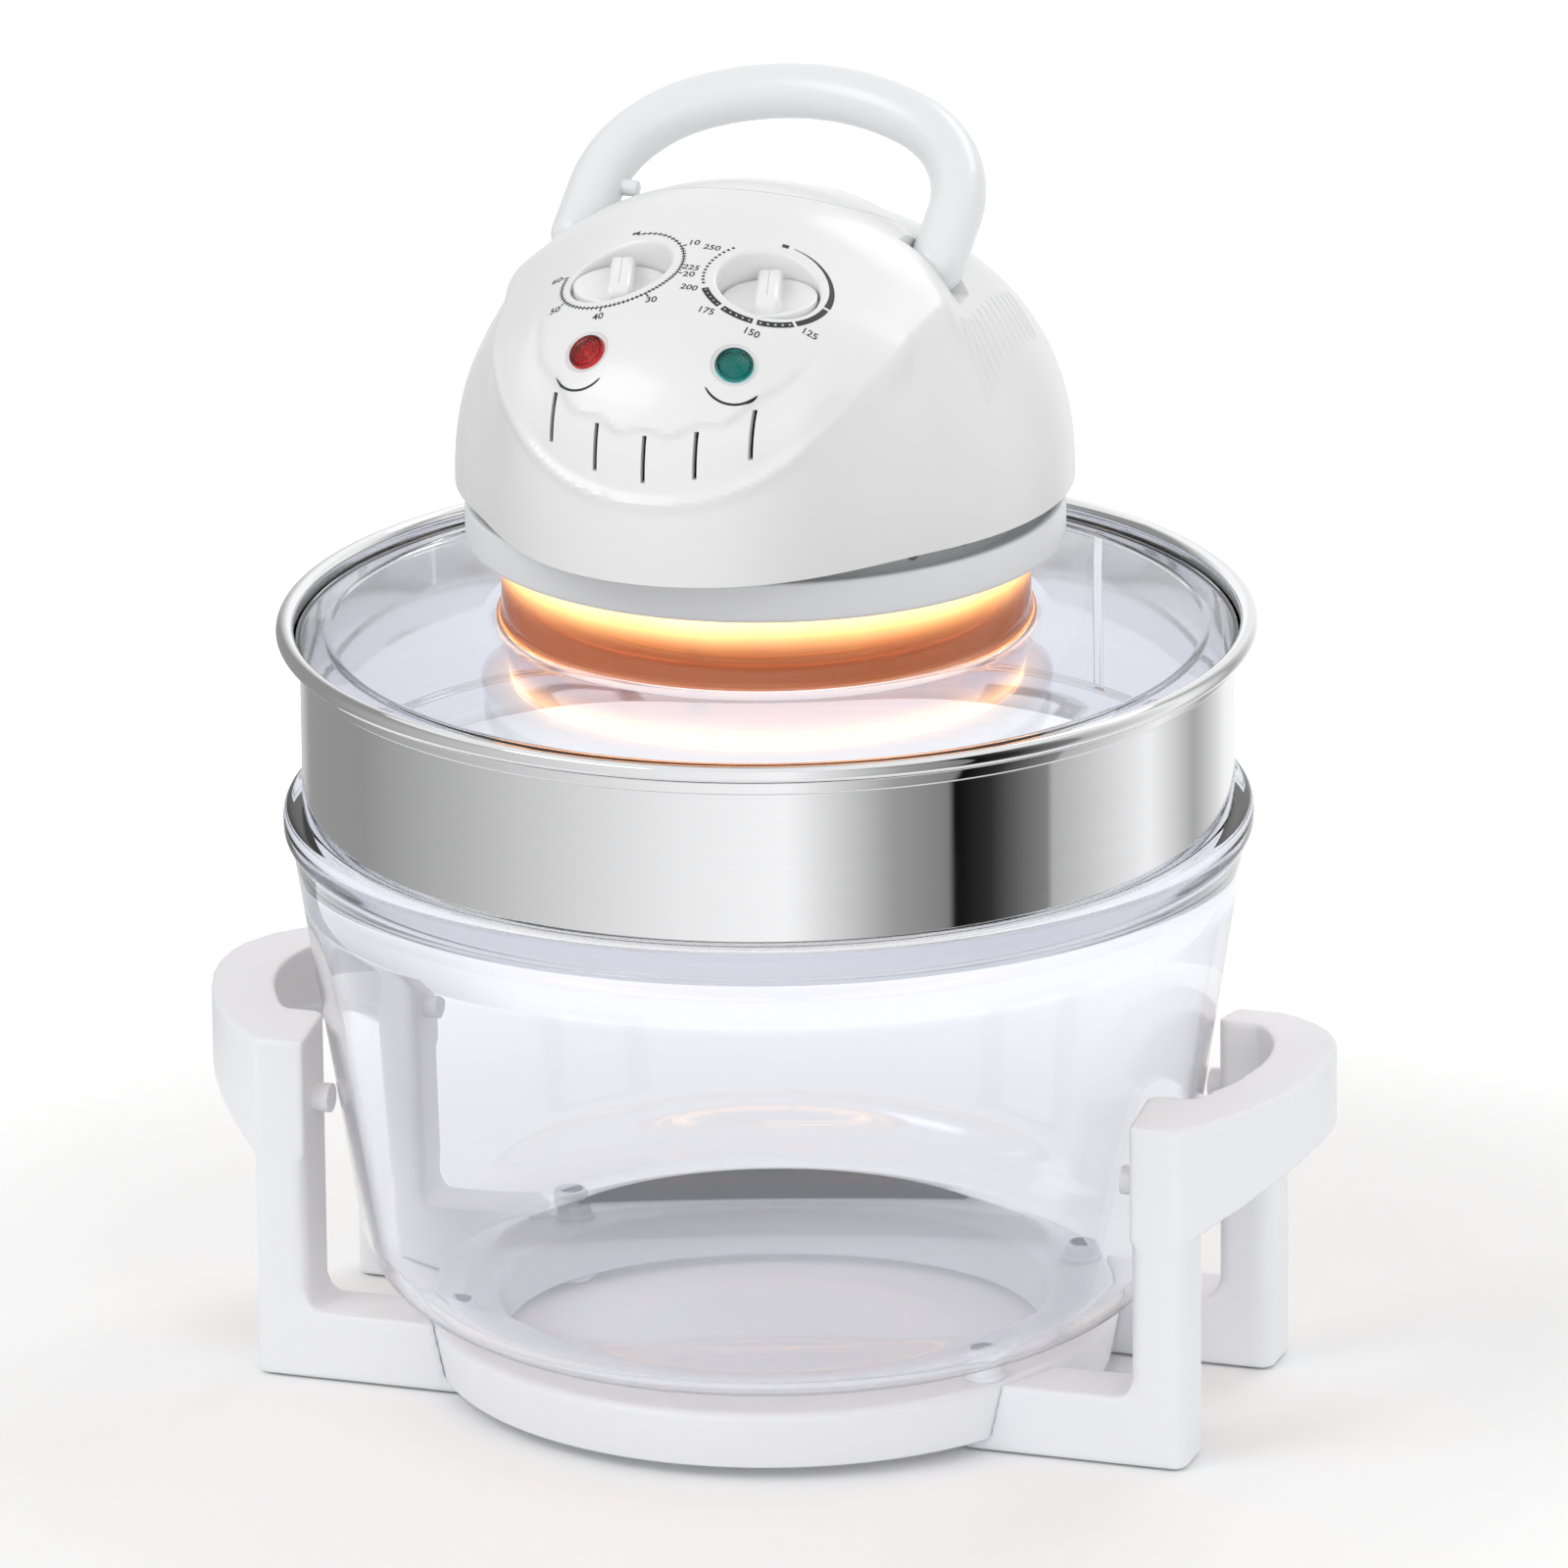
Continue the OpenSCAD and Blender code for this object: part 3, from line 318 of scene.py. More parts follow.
def settle(obj: bpy.types.Object) -> bpy.types.Object:
    """Makes what an object's modifiers give its own mesh.

    Args:
        obj: An object with modifiers.

    Returns:
        The same object with none.
    """
    graph = bpy.context.evaluated_depsgraph_get()
    mesh = bpy.data.meshes.new_from_object(obj.evaluated_get(graph))
    obj.modifiers.clear()
    obj.data = mesh
    return obj


def carve(obj: bpy.types.Object, cutter: bpy.types.Object, cut: Cut = Cut.OUT) -> bpy.types.Object:
    """Cuts an object with another, which is then deleted.

    Args:
        obj: The body that is cut.
        cutter: A closed body.
        cut: What is done with the shared space.

    Returns:
        The body.
    """
    modifier = obj.modifiers.new("carve", "BOOLEAN")
    modifier.object, modifier.operation, modifier.solver = cutter, cut.value, "EXACT"
    settle(obj)
    bpy.data.objects.remove(cutter)
    return obj


def twin(node: str, name: str) -> bpy.types.Object:
    """A merged copy of a CAD node's mesh, with its loose triangles joined.

    Args:
        node: Name of the CAD node.
        name: Name of the copy.

    Returns:
        The copy, linked to the scene.
    """
    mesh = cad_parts[node].data.copy()
    mesh.name = name
    work = bmesh.new()
    work.from_mesh(mesh)
    bmesh.ops.remove_doubles(work, verts=work.verts, dist=2e-6)
    work.to_mesh(mesh)
    work.free()
    obj = bpy.data.objects.new(name, mesh)
    bpy.context.scene.collection.objects.link(obj)
    return obj


def mould(obj: bpy.types.Object, voxel: float, rounds: int) -> bpy.types.Object:
    """Softens a solid's edges as a moulding has them, by an even remesh and smoothing.

    Args:
        obj: The solid.
        voxel: Size of the remesh in millimetres.
        rounds: Rounds of smoothing.

    Returns:
        The softened solid.
    """
    remesh = obj.modifiers.new("remesh", "REMESH")
    remesh.mode, remesh.voxel_size = "VOXEL", voxel * MM
    soft = obj.modifiers.new("soft", "SMOOTH")
    soft.factor, soft.iterations = 0.5, rounds
    return settle(obj)


def place(obj: bpy.types.Object, body: Body, slot: str, *nodes: str) -> bpy.types.Object:
    """Lets a piece ride on its body and hides the CAD nodes it stands for.

    Args:
        obj: The piece.
        body: The body it moves with.
        slot: The material slot it wears; not used.
        nodes: The CAD nodes it stands for.

    Returns:
        The piece.
    """
    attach(obj, body.value)
    if nodes:
        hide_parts(*nodes)
    log.info("%s rides on %s, %d faces", obj.name, body.value, len(obj.data.polygons))
    return obj


# Finishes

Tree = bpy.types.NodeTree
Node = bpy.types.Node
Socket = bpy.types.NodeSocket


def add_node(
    tree: Tree, kind: str, settings: dict | None = None, inputs: dict | None = None
) -> Node:
    """Adds a shader node.

    Args:
        tree: The tree it goes into.
        kind: The node's type name.
        settings: Values of its own options.
        inputs: Values or sockets for its inputs, by name or number.

    Returns:
        The node.
    """
    node = tree.nodes.new(kind)
    for key, value in (settings or {}).items():
        setattr(node, key, value)
    for key, value in (inputs or {}).items():
        if isinstance(value, bpy.types.NodeSocket):
            tree.links.new(value, node.inputs[key])
        else:
            node.inputs[key].default_value = value
    return node


def new_group(name: str, inputs: dict[str, float], outputs: list[str]) -> tuple[Tree, Node, Node]:
    """Starts a shader node group of plain numbers.

    Args:
        name: The group's name.
        inputs: Names of the inputs with their usual values.
        outputs: Names of the outputs.

    Returns:
        The tree, its input node and its output node.
    """
    tree = bpy.data.node_groups.new(name, "ShaderNodeTree")
    for key, value in inputs.items():
        socket = tree.interface.new_socket(key, in_out="INPUT", socket_type="NodeSocketFloat")
        socket.default_value = value
    for key in outputs:
        tree.interface.new_socket(key, in_out="OUTPUT", socket_type="NodeSocketFloat")
    return tree, tree.nodes.new("NodeGroupInput"), tree.nodes.new("NodeGroupOutput")


def math_node(
    tree: Tree, operation: str, first: Socket | float, second: Socket | float = 0.0,
    clamp: bool = False,
) -> Socket:
    """Output of a Math node with two inputs."""
    node = add_node(
        tree, "ShaderNodeMath", {"operation": operation, "use_clamp": clamp}, {0: first, 1: second}
    )
    return node.outputs[0]


class Effects:
    """Shader node groups that more than one finish uses, each made once."""

    made: dict[str, Tree] = {}

    @classmethod
    def get(cls, name: str) -> Tree:
        """The group of that name.

        Args:
            name: Name of the effect.

        Returns:
            Its group, made at the first call.
        """
        if name not in cls.made:
            cls.made[name] = getattr(cls, name)()
        return cls.made[name]

    @staticmethod
    def grain() -> Tree:
        """Fine moulding grain over broad, weak changes of tone.

        Returns:
            The group.
        """
        tree, start, end = new_group("grain", {"Size": 900.0, "Broad": 14.0}, ["Height", "Tone"])
        where = add_node(tree, "ShaderNodeTexCoord").outputs["Object"]
        fine = add_node(
            tree, "ShaderNodeTexNoise", None,
            {"Vector": where, "Scale": start.outputs["Size"], "Detail": 3.0},
        )
        broad = add_node(
            tree, "ShaderNodeTexNoise", None,
            {"Vector": where, "Scale": start.outputs["Broad"], "Detail": 2.0},
        )
        tree.links.new(fine.outputs["Fac"], end.inputs["Height"])
        tree.links.new(broad.outputs["Fac"], end.inputs["Tone"])
        return tree

    @staticmethod
    def smudges() -> Tree:
        """Soft patches where hands and cloths have dulled a surface.

        Returns:
            The group.
        """
        tree, start, end = new_group("smudges", {"Size": 22.0, "Share": 0.5}, ["Mask"])
        where = add_node(tree, "ShaderNodeTexCoord").outputs["Object"]
        noise = add_node(
            tree, "ShaderNodeTexNoise", None,
            {"Vector": where, "Scale": start.outputs["Size"], "Detail": 4.0, "Distortion": 0.6},
        )
        over = math_node(tree, "SUBTRACT", noise.outputs["Fac"], start.outputs["Share"])
        mask = math_node(tree, "MULTIPLY", over, 4.0, clamp=True)
        tree.links.new(mask, end.inputs["Mask"])
        return tree

    @staticmethod
    def brushing() -> Tree:
        """Fine lines drawn round a sheet's wall, at one height each.

        Returns:
            The group.
        """
        tree, start, end = new_group(
            "brushing", {"Along": 6.0, "Across": 1400.0}, ["Height", "Tone"]
        )
        where = add_node(tree, "ShaderNodeTexCoord").outputs["Object"]
        along, across = start.outputs["Along"], start.outputs["Across"]
        scale = add_node(tree, "ShaderNodeCombineXYZ", None, {0: along, 1: along, 2: across})
        drawn = add_node(
            tree, "ShaderNodeVectorMath", {"operation": "MULTIPLY"},
            {0: where, 1: scale.outputs[0]},
        )
        noise = add_node(
            tree, "ShaderNodeTexNoise", None,
            {"Vector": drawn.outputs[0], "Scale": 1.0, "Detail": 2.0},
        )
        tree.links.new(noise.outputs["Fac"], end.inputs["Height"])
        tree.links.new(noise.outputs["Fac"], end.inputs["Tone"])
        return tree

    @staticmethod
    def layers() -> Tree:
        """Even lines stacked upwards, as in stamped sheets or a wound coil.

        Returns:
            The group.
        """
        tree, start, end = new_group("layers", {"Pitch": 0.001}, ["Height", "Mask"])
        where = add_node(tree, "ShaderNodeTexCoord").outputs["Object"]
        up = add_node(tree, "ShaderNodeSeparateXYZ", None, {0: where}).outputs[2]
        turns = math_node(tree, "DIVIDE", up, start.outputs["Pitch"])
        wave = math_node(tree, "SINE", math_node(tree, "MULTIPLY", turns, TURN))
        height = math_node(tree, "MULTIPLY_ADD", wave, 0.5)
        height.node.inputs[2].default_value = 0.5
        tree.links.new(height, end.inputs["Height"])
        tree.links.new(math_node(tree, "GREATER_THAN", height, 0.3), end.inputs["Mask"])
        return tree


def use(tree: Tree, effect: str, **inputs: float) -> Node:
    """Places a shared effect in a material with its own values.

    Args:
        tree: The material's node tree.
        effect: Name of the effect.
        inputs: Values for its inputs.

    Returns:
        The group's node.
    """
    node = add_node(tree, "ShaderNodeGroup", {"node_tree": Effects.get(effect)})
    for key, value in inputs.items():
        node.inputs[key].default_value = value
    return node


def blend_colours(tree: Tree, mask: Socket, first: tuple, second: tuple) -> Socket:
    """Colour between two by a mask."""
    node = add_node(
        tree, "ShaderNodeMix", {"data_type": "RGBA"}, {"Factor": mask, "A": first, "B": second}
    )
    return node.outputs["Result"]


def spread(tree: Tree, value: Socket, low: float, high: float) -> Socket:
    """Moves a number from the range 0 to 1 to another range."""
    node = add_node(
        tree, "ShaderNodeMapRange", None, {"Value": value, "To Min": low, "To Max": high}
    )
    return node.outputs[0]


def rgba(
    colour: tuple[float, float, float], share: float = 1.0
) -> tuple[float, float, float, float]:
    """Four colour values, with the colour weakened by a share."""
    return (colour[0] * share, colour[1] * share, colour[2] * share, 1.0)


@dataclass(frozen=True)
class Finish:
    """Something that a piece is made of.

    Attributes:
        name: The finish's name.
        colour: Its linear colour.
        rough: Its roughness where nothing dulls it.
    """

    name: str
    colour: tuple[float, float, float]
    rough: float = 0.4

    def material(self) -> bpy.types.Material:
        """The finish's material, made the first time it is asked for.

        Returns:
            The material.
        """
        name = "finish_" + self.name
        found = bpy.data.materials.get(name)
        if found is not None:
            return found
        made = bpy.data.materials.new(name)
        made.use_nodes = True
        tree = made.node_tree
        shader = tree.nodes["Principled BSDF"]
        shader.inputs["Base Color"].default_value = rgba(self.colour)
        shader.inputs["Roughness"].default_value = self.rough
        self.build(tree, shader)
        return made

    def build(self, tree: Tree, shader: Node) -> None:
        """Adds what this kind of finish has beyond its colour and roughness."""
        raise NotImplementedError

    def bump(
        self, tree: Tree, shader: Node, height: Socket, strength: float, depth: float
    ) -> None:
        """Raises the surface by a height in millimetres, through a Bump node."""
        node = add_node(
            tree, "ShaderNodeBump", None,
            {"Strength": strength, "Distance": depth * MM, "Height": height},
        )
        tree.links.new(node.outputs[0], shader.inputs["Normal"])


@dataclass(frozen=True)
class Moulded(Finish):
    """Moulded plastic or rubber, with a fine grain and dulled patches.

    Attributes:
        grain: Size of the grain, as a noise scale.
        relief: Depth of the grain in millimetres.
        coat: Weight of a clear gloss over it.
    """

    grain: float = 900.0
    relief: float = 0.02
    coat: float = 0.0

    def build(self, tree: Tree, shader: Node) -> None:
        """Tone, gloss and relief of the moulding.

        Args:
            tree: The material's node tree.
            shader: Its Principled shader.
        """
        grain = use(tree, "grain", Size=self.grain)
        dull = use(tree, "smudges", Size=18.0)
        tone = blend_colours(
            tree, grain.outputs["Tone"], rgba(self.colour, 0.975), rgba(self.colour)
        )
        tree.links.new(tone, shader.inputs["Base Color"])
        tree.links.new(
            spread(tree, dull.outputs["Mask"], self.rough, self.rough + 0.08),
            shader.inputs["Roughness"],
        )
        shader.inputs["Coat Weight"].default_value = self.coat
        shader.inputs["Coat Roughness"].default_value = 0.12
        self.bump(tree, shader, grain.outputs["Height"], 0.35, self.relief)


@dataclass(frozen=True)
class Metal(Finish):
    """Drawn, plated or polished metal.

    Attributes:
        lines: Whether brushed lines run round it.
        relief: Depth of the lines or the casting's grain in millimetres.
        dull: How much rougher it is in worn patches.
    """

    lines: bool = False
    relief: float = 0.004
    dull: float = 0.08

    def build(self, tree: Tree, shader: Node) -> None:
        """Lines or grain, and patches of dulled metal.

        Args:
            tree: The material's node tree.
            shader: Its Principled shader.
        """
        shader.inputs["Metallic"].default_value = 1.0
        marks = use(tree, "brushing") if self.lines else use(tree, "grain", Size=420.0)
        patches = use(tree, "smudges", Size=11.0, Share=0.46)
        tone = blend_colours(
            tree, marks.outputs["Tone"], rgba(self.colour, 0.93), rgba(self.colour)
        )
        tree.links.new(tone, shader.inputs["Base Color"])
        rough = spread(tree, patches.outputs["Mask"], self.rough, self.rough + self.dull)
        tree.links.new(rough, shader.inputs["Roughness"])
        self.bump(tree, shader, marks.outputs["Height"], 0.3, self.relief)


@dataclass(frozen=True)
class Stacked(Finish):
    """Stamped sheets or wound wire, seen as even lines.

    Attributes:
        pitch: Height of one line in millimetres.
        seam: Share of the colour that is left between lines.
        metal: Metallic value.
    """

    pitch: float = 0.6
    seam: float = 0.45
    metal: float = 1.0

    def build(self, tree: Tree, shader: Node) -> None:
        """Lines with dark seams between them.

        Args:
            tree: The material's node tree.
            shader: Its Principled shader.
        """
        shader.inputs["Metallic"].default_value = self.metal
        lines = use(tree, "layers", Pitch=self.pitch * MM)
        colour = blend_colours(
            tree, lines.outputs["Mask"], rgba(self.colour, self.seam), rgba(self.colour)
        )
        tree.links.new(colour, shader.inputs["Base Color"])
        self.bump(tree, shader, lines.outputs["Height"], 0.8, self.pitch / 3)


@dataclass(frozen=True)
class Glass(Finish):
    """Clear or coloured glass, which lets light through to what stands behind it.

    Attributes:
        shade: Colour that a shadow through it takes.
        smear: Roughness added where it is smeared.
        index: Index of refraction.
    """

    shade: tuple[float, float, float] = (0.93, 0.95, 0.97)
    smear: float = 0.015
    index: float = 1.47

    def build(self, tree: Tree, shader: Node) -> None:
        """Glass for what looks at it, and a plain clear sheet for shadows.

        Args:
            tree: The material's node tree.
            shader: Its Principled shader.
        """
        shader.inputs["Transmission Weight"].default_value = 1.0
        shader.inputs["IOR"].default_value = self.index
        smears = use(tree, "smudges", Size=9.0, Share=0.5)
        rough = spread(tree, smears.outputs["Mask"], self.rough, self.rough + self.smear)
        tree.links.new(rough, shader.inputs["Roughness"])
        grain = use(tree, "grain", Size=30.0, Broad=6.0)
        tone = blend_colours(
            tree, grain.outputs["Tone"], rgba(self.colour, 0.985), rgba(self.colour)
        )
        tree.links.new(tone, shader.inputs["Base Color"])
        light = add_node(tree, "ShaderNodeLightPath")
        clear = add_node(tree, "ShaderNodeBsdfTransparent", None, {"Color": rgba(self.shade)})
        mixed = add_node(
            tree, "ShaderNodeMixShader", None,
            {0: light.outputs["Is Shadow Ray"], 1: shader.outputs[0], 2: clear.outputs[0]},
        )
        tree.links.new(mixed.outputs[0], tree.nodes["Material Output"].inputs["Surface"])


# Painted light: this glass has the heater's light painted into its neck as an amber tint and an
# emissive band.
@dataclass(frozen=True)
class GlowPaintedGlass(Glass):
    """Glass with the heater's light painted into its neck: an amber tint, and a glow band at its
    top.

    Attributes:
        painted_amber: Amber painted on the glass at the neck, standing in for the heater's light.
        light: Colour of the painted glow band at the neck's top.
        power: Strength of that painted glow.
        cloud: How much of the light through the neck is lost, so that the painted amber shows.
        neck: Radius of the neck's outside in millimetres.
        low: Height of the neck's foot in millimetres.
        high: Height at which the painted glow is whitest.
    """

    painted_amber: tuple[float, float, float] = (0.62, 0.22, 0.10)
    light: tuple[float, float, float] = (1.0, 0.62, 0.25)
    power: float = 3.0
    cloud: float = 0.6
    neck: float = 90.5
    low: float = 267.0
    high: float = 298.0

    def build(self, tree: Tree, shader: Node) -> None:
        """Clear glass with the heater's light painted in: amber inside the neck and a glow at its
        top.

        Args:
            tree: The material's node tree.
            shader: Its Principled shader.
        """
        super().build(tree, shader)
        where = add_node(tree, "ShaderNodeTexCoord").outputs["Object"]
        parts = add_node(tree, "ShaderNodeSeparateXYZ", None, {0: where})
        x, y, z = parts.outputs[0], parts.outputs[1], parts.outputs[2]
        square = math_node(
            tree, "ADD", math_node(tree, "MULTIPLY", x, x), math_node(tree, "MULTIPLY", y, y)
        )
        inside = math_node(tree, "LESS_THAN", square, (self.neck * MM) ** 2)
        up = add_node(
            tree, "ShaderNodeMapRange", {"interpolation_type": "SMOOTHSTEP"},
            {"Value": z, "From Min": self.low * MM, "From Max": (self.low + 2) * MM},
        ).outputs[0]
        mask = math_node(tree, "MULTIPLY", inside, up)
        # Painted light: inside the neck the glass is tinted amber and lets less light through, for
        # the heater's light.
        plain = shader.inputs["Base Color"].links[0].from_socket
        painted_amber_tint = add_node(
            tree, "ShaderNodeMix", {"data_type": "RGBA"},
            {"Factor": mask, "A": plain, "B": rgba(self.painted_amber)},
        )
        tree.links.new(painted_amber_tint.outputs["Result"], shader.inputs["Base Color"])
        tree.links.new(
            spread(tree, mask, 1.0, 1 - self.cloud), shader.inputs["Transmission Weight"]
        )
        # Painted glow: the glass emits light in a band at the neck's top, though it is no lamp.
        band = add_node(
            tree, "ShaderNodeMapRange", {"interpolation_type": "SMOOTHERSTEP"},
            {"Value": z, "From Min": self.low * MM, "From Max": self.high * MM},
        ).outputs[0]
        grain = use(tree, "grain", Size=160.0, Broad=26.0)
        uneven = spread(tree, grain.outputs["Tone"], 0.55, 1.35)
        painted_glow = math_node(tree, "MULTIPLY", math_node(tree, "POWER", band, 4.0), inside)
        painted_glow = math_node(tree, "MULTIPLY", painted_glow, math_node(tree, "MULTIPLY", uneven, self.power))
        shader.inputs["Emission Color"].default_value = rgba(self.light)
        tree.links.new(painted_glow, shader.inputs["Emission Strength"])


@dataclass(frozen=True)
class Glow(Finish):
    """Quartz tube with a hot wire in it.

    Attributes:
        heat: Strength of its light.
        edge: Colour of the light in the patches where the noise turns it orange.
    """

    heat: float = 3.5
    edge: tuple[float, float, float] = (1.0, 0.35, 0.06)

    def build(self, tree: Tree, shader: Node) -> None:
        """White-hot light that turns orange in broad patches, uneven along the wire.

        Args:
            tree: The material's node tree.
            shader: Its Principled shader.
        """
        grain = use(tree, "grain", Size=240.0, Broad=60.0)
        tone = blend_colours(tree, grain.outputs["Tone"], rgba(self.edge), rgba(self.colour))
        tree.links.new(tone, shader.inputs["Emission Color"])
        shader.inputs["Emission Strength"].default_value = self.heat
        self.bump(tree, shader, grain.outputs["Height"], 0.4, 0.1)


WHITE = Moulded("head_plastic", (0.81, 0.81, 0.81), 0.30, coat=0.25)
STAND_WHITE = Moulded("stand_plastic", (0.875, 0.885, 0.915), 0.34, relief=0.03)
COLLAR_WHITE = Moulded("collar_plastic", (0.83, 0.84, 0.855), 0.33)
KNOB_WHITE = Moulded("knob_plastic", (0.84, 0.84, 0.84), 0.26, coat=0.3)
HANDLE_WHITE = Moulded("handle_plastic", (0.81, 0.815, 0.825), 0.30, coat=0.2)
RUBBER = Moulded("foot_rubber", (0.05, 0.05, 0.05), 0.75, 500.0, 0.08)
GLAND = Moulded("gland_rubber", (0.03, 0.03, 0.03), 0.6, 500.0, 0.06)
UNIT = Moulded("unit_plastic", (0.06, 0.06, 0.07), 0.5, 500.0, 0.05)
FAN = Moulded("fan_plastic", (0.45, 0.45, 0.43), 0.45, 600.0, 0.04)
PLUNGER = Moulded("plunger_plastic", (0.5, 0.05, 0.04), 0.4)
CERAMIC = Moulded("ceramic_white", (0.75, 0.71, 0.62), 0.55, 700.0, 0.05)
MICA = Moulded("insulation", (0.42, 0.33, 0.2), 0.7, 160.0, 0.25)
PRINT = Moulded("black_print", (0.015, 0.015, 0.018), 0.45, 700.0, 0.004)
STEEL = Metal("stainless", (0.82, 0.82, 0.83), 0.055, relief=0.0015, lines=True, dull=0.03)
MIRROR = Metal("polished_pan", (0.86, 0.85, 0.83), 0.16, dull=0.12)
ZINC = Metal("plated_steel", (0.62, 0.63, 0.64), 0.32, relief=0.02)
CHROME = Metal("chromed_wire", (0.8, 0.8, 0.8), 0.14, dull=0.05)
ALLOY = Metal("fan_metal", (0.66, 0.66, 0.66), 0.3, relief=0.02)
LAMINATED = Stacked("laminated_steel", (0.28, 0.28, 0.3), 0.5)
COPPER = Stacked("winding", (0.55, 0.2, 0.07), 0.35, pitch=0.5, seam=0.5)
BOWL_GLASS = Glass("bowl_glass", (0.935, 0.945, 0.975), 0.0)
# The lid glass carries the painted amber and painted glow of the heater's light in its neck.
LID_GLASS = GlowPaintedGlass("lid_glass", (0.94, 0.945, 0.98), 0.0)
RED = Glass("red_lens", (0.62, 0.012, 0.012), 0.05, (0.6, 0.1, 0.1), 0.05)
TEAL = Glass("teal_lens", (0.012, 0.47, 0.46), 0.05, (0.1, 0.5, 0.45), 0.05)
HOT = Glow("hot_quartz", (1.0, 0.72, 0.32), 0.3)


# Stand, bowl, ring and lid


@dataclass
class Stand:
    """White stand: a ring under the bowl and two side frames with carrying arches."""

    ring_out: float = 118.0
    ring_in: float = 94.0
    ring_foot: float = 114.5
    ring_low: float = 4.5
    ring_top: float = 25.0
    fillet: float = 5.0
    leg_inner: float = 145.7
    leg_y: float = 50.5
    leg_depth: float = 25.0
    arm_top: float = 24.8
    peg_ring: float = 109.0
    peg_angle: float = 31.5
    bowl_z: float = 30.6

    def ring(self) -> bpy.types.Object:
        """Ring under the bowl, narrower at its foot, with a rounded shoulder at its top.

        Returns:
            The ring.
        """
        corners = [
            (self.ring_in, self.ring_low), (self.ring_foot, self.ring_low),
            (self.ring_out, self.ring_top - 2), (self.ring_out - 2, self.ring_top),
            (self.ring_in, self.ring_top),
        ]
        profile = soften(np.array(corners), np.array([2.0, 1.2, 1.4, 1.4, 2.0]), 6)
        return place(mesh_object("base_ring_moulding", lathe(profile), STAND_WHITE),
                     Body.STAND, "white_plastic", "base_ring")

    def fillets(self) -> Patch:
        """Concave fillets where the inner faces of the legs meet the arms.

        Returns:
            Fillets of the frame on the right.
        """
        turn, f = np.linspace(0, math.pi / 2, 9), self.fillet
        arc = np.stack(
            [self.leg_inner - f + f * np.sin(turn), self.arm_top + f - f * np.cos(turn)], -1
        )
        outline = np.vstack([
            [[self.leg_inner - f, self.arm_top - 2]], arc,
            [[self.leg_inner + 2, self.arm_top + f]], [[self.leg_inner + 2, self.arm_top - 2]],
        ])
        half = self.leg_depth / 2 - 0.6
        return join(*[
            prism(outline, j * self.leg_y - half, j * self.leg_y + half, (0, 2, 1))
            for j in (-1, 1)
        ])

    def side(self, node: str, sign: int) -> bpy.types.Object:
        """Side frame with softened edges.

        Args:
            node: Name of the CAD node.
            sign: -1 for the frame on the left, 1 for the right.

        Returns:
            The frame.
        """
        frame_copy = twin(node, node + "_moulding")
        extra = self.fillets()
        extra_obj = mesh_object(
            "fillets", extra if sign > 0 else Patch(extra.points * [-1, 1, 1], extra.faces)
        )
        carve(frame_copy, extra_obj, Cut.ADD)
        smooth(dress(mould(frame_copy, 1.15, 5), STAND_WHITE), 180)
        return place(frame_copy, Body.STAND, "white_plastic", node)

    def pegs(self) -> bpy.types.Object:
        """Pegs with round tops on which the bowl stands.

        Returns:
            The four pegs as one piece.
        """
        base, top = self.ring_top, self.bowl_z
        corners = np.array([
            (0, base - 3), (2.9, base - 3), (2.9, base), (7, base), (7, base + 1.6),
            (6, base + 1.6), (6, top), (0, top),
        ])
        peg = lathe(soften(corners, np.array([0, 0.3, 0.3, 0.3, 0.5, 0.4, 1.6, 0]), 5), 48)
        angle = np.radians([
            self.peg_angle, 180 - self.peg_angle, 180 + self.peg_angle, -self.peg_angle
        ])
        pegs = [
            peg.moved(np.eye(3), (self.peg_ring * math.cos(a), self.peg_ring * math.sin(a), 0))
            for a in angle
        ]
        return place(mesh_object("bowl_rest_buttons", join(*pegs), STAND_WHITE),
                     Body.STAND, "white_plastic", "bowl_rest_pegs")

    def build(self) -> None:
        """Makes the stand's pieces and dresses the CAD nodes that stay."""
        self.ring()
        self.side("side_frame_right", 1)
        self.side("side_frame_left", -1)
        self.pegs()
        dress_nodes(STAND_WHITE, "side_bumpers")
        dress_nodes(RUBBER, "foot_pads")
        dress_nodes(ZINC, "stand_screws")


@dataclass
class Bowl:
    """Glass bowl with a rolled rim."""

    rim_r: float = 163.3
    rim_z: float = 203.0
    base_z: float = 30.6
    base_r: float = 110.0
    corner_r: float = 30.0
    glass: float = 4.5
    lean: float = 8.778

    def profile(self) -> Array:
        """Closed outline of the wall, from the middle of the base round the rim.

        The wall is the straight line that touches the corner's arc and ends under
        the rim, and the inside follows at the glass's thickness.

        Returns:
            Radius and height of each point.
        """
        turn = np.radians(np.linspace(-90, -self.lean, 22))
        corner = np.array([self.base_r, self.base_z + self.corner_r])
        around = np.stack([np.cos(turn), np.sin(turn)], -1)
        outer = corner + self.corner_r * around
        inner = corner + (self.corner_r - self.glass) * around
        r, z = self.rim_r, self.rim_z
        rim = soften(
            np.array([
                (r - 2.5, z - 10.5), (r, z - 8), (r, z), (r - 9, z), (r - 9, z - 7.5),
                (r - 7.4, z - 13.5),
            ]), np.array([0.5, 2.0, 3.6, 2.6, 2.2, 1.0]), 8, closed=False,
        )
        foot = np.array([
            [0, self.base_z + 0.5], [self.base_r - 16, self.base_z + 0.5],
            [self.base_r - 12, self.base_z], [self.base_r - 2, self.base_z],
        ])
        top = np.array([[self.base_r, self.base_z + self.glass], [0, self.base_z + self.glass]])
        wall_up = np.linspace(outer[-1], rim[0], 8)[1:-1]
        wall_down = np.linspace(rim[-1], inner[-1], 8)[1:-1]
        return np.vstack([foot, outer, wall_up, rim, wall_down, inner[::-1], top])

    def build(self) -> None:
        """Makes the bowl."""
        bowl = mesh_object("bowl_blown", lathe(self.profile(), 256), BOWL_GLASS, 60)
        place(bowl, Body.BOWL, "clear_glass", "glass_bowl")


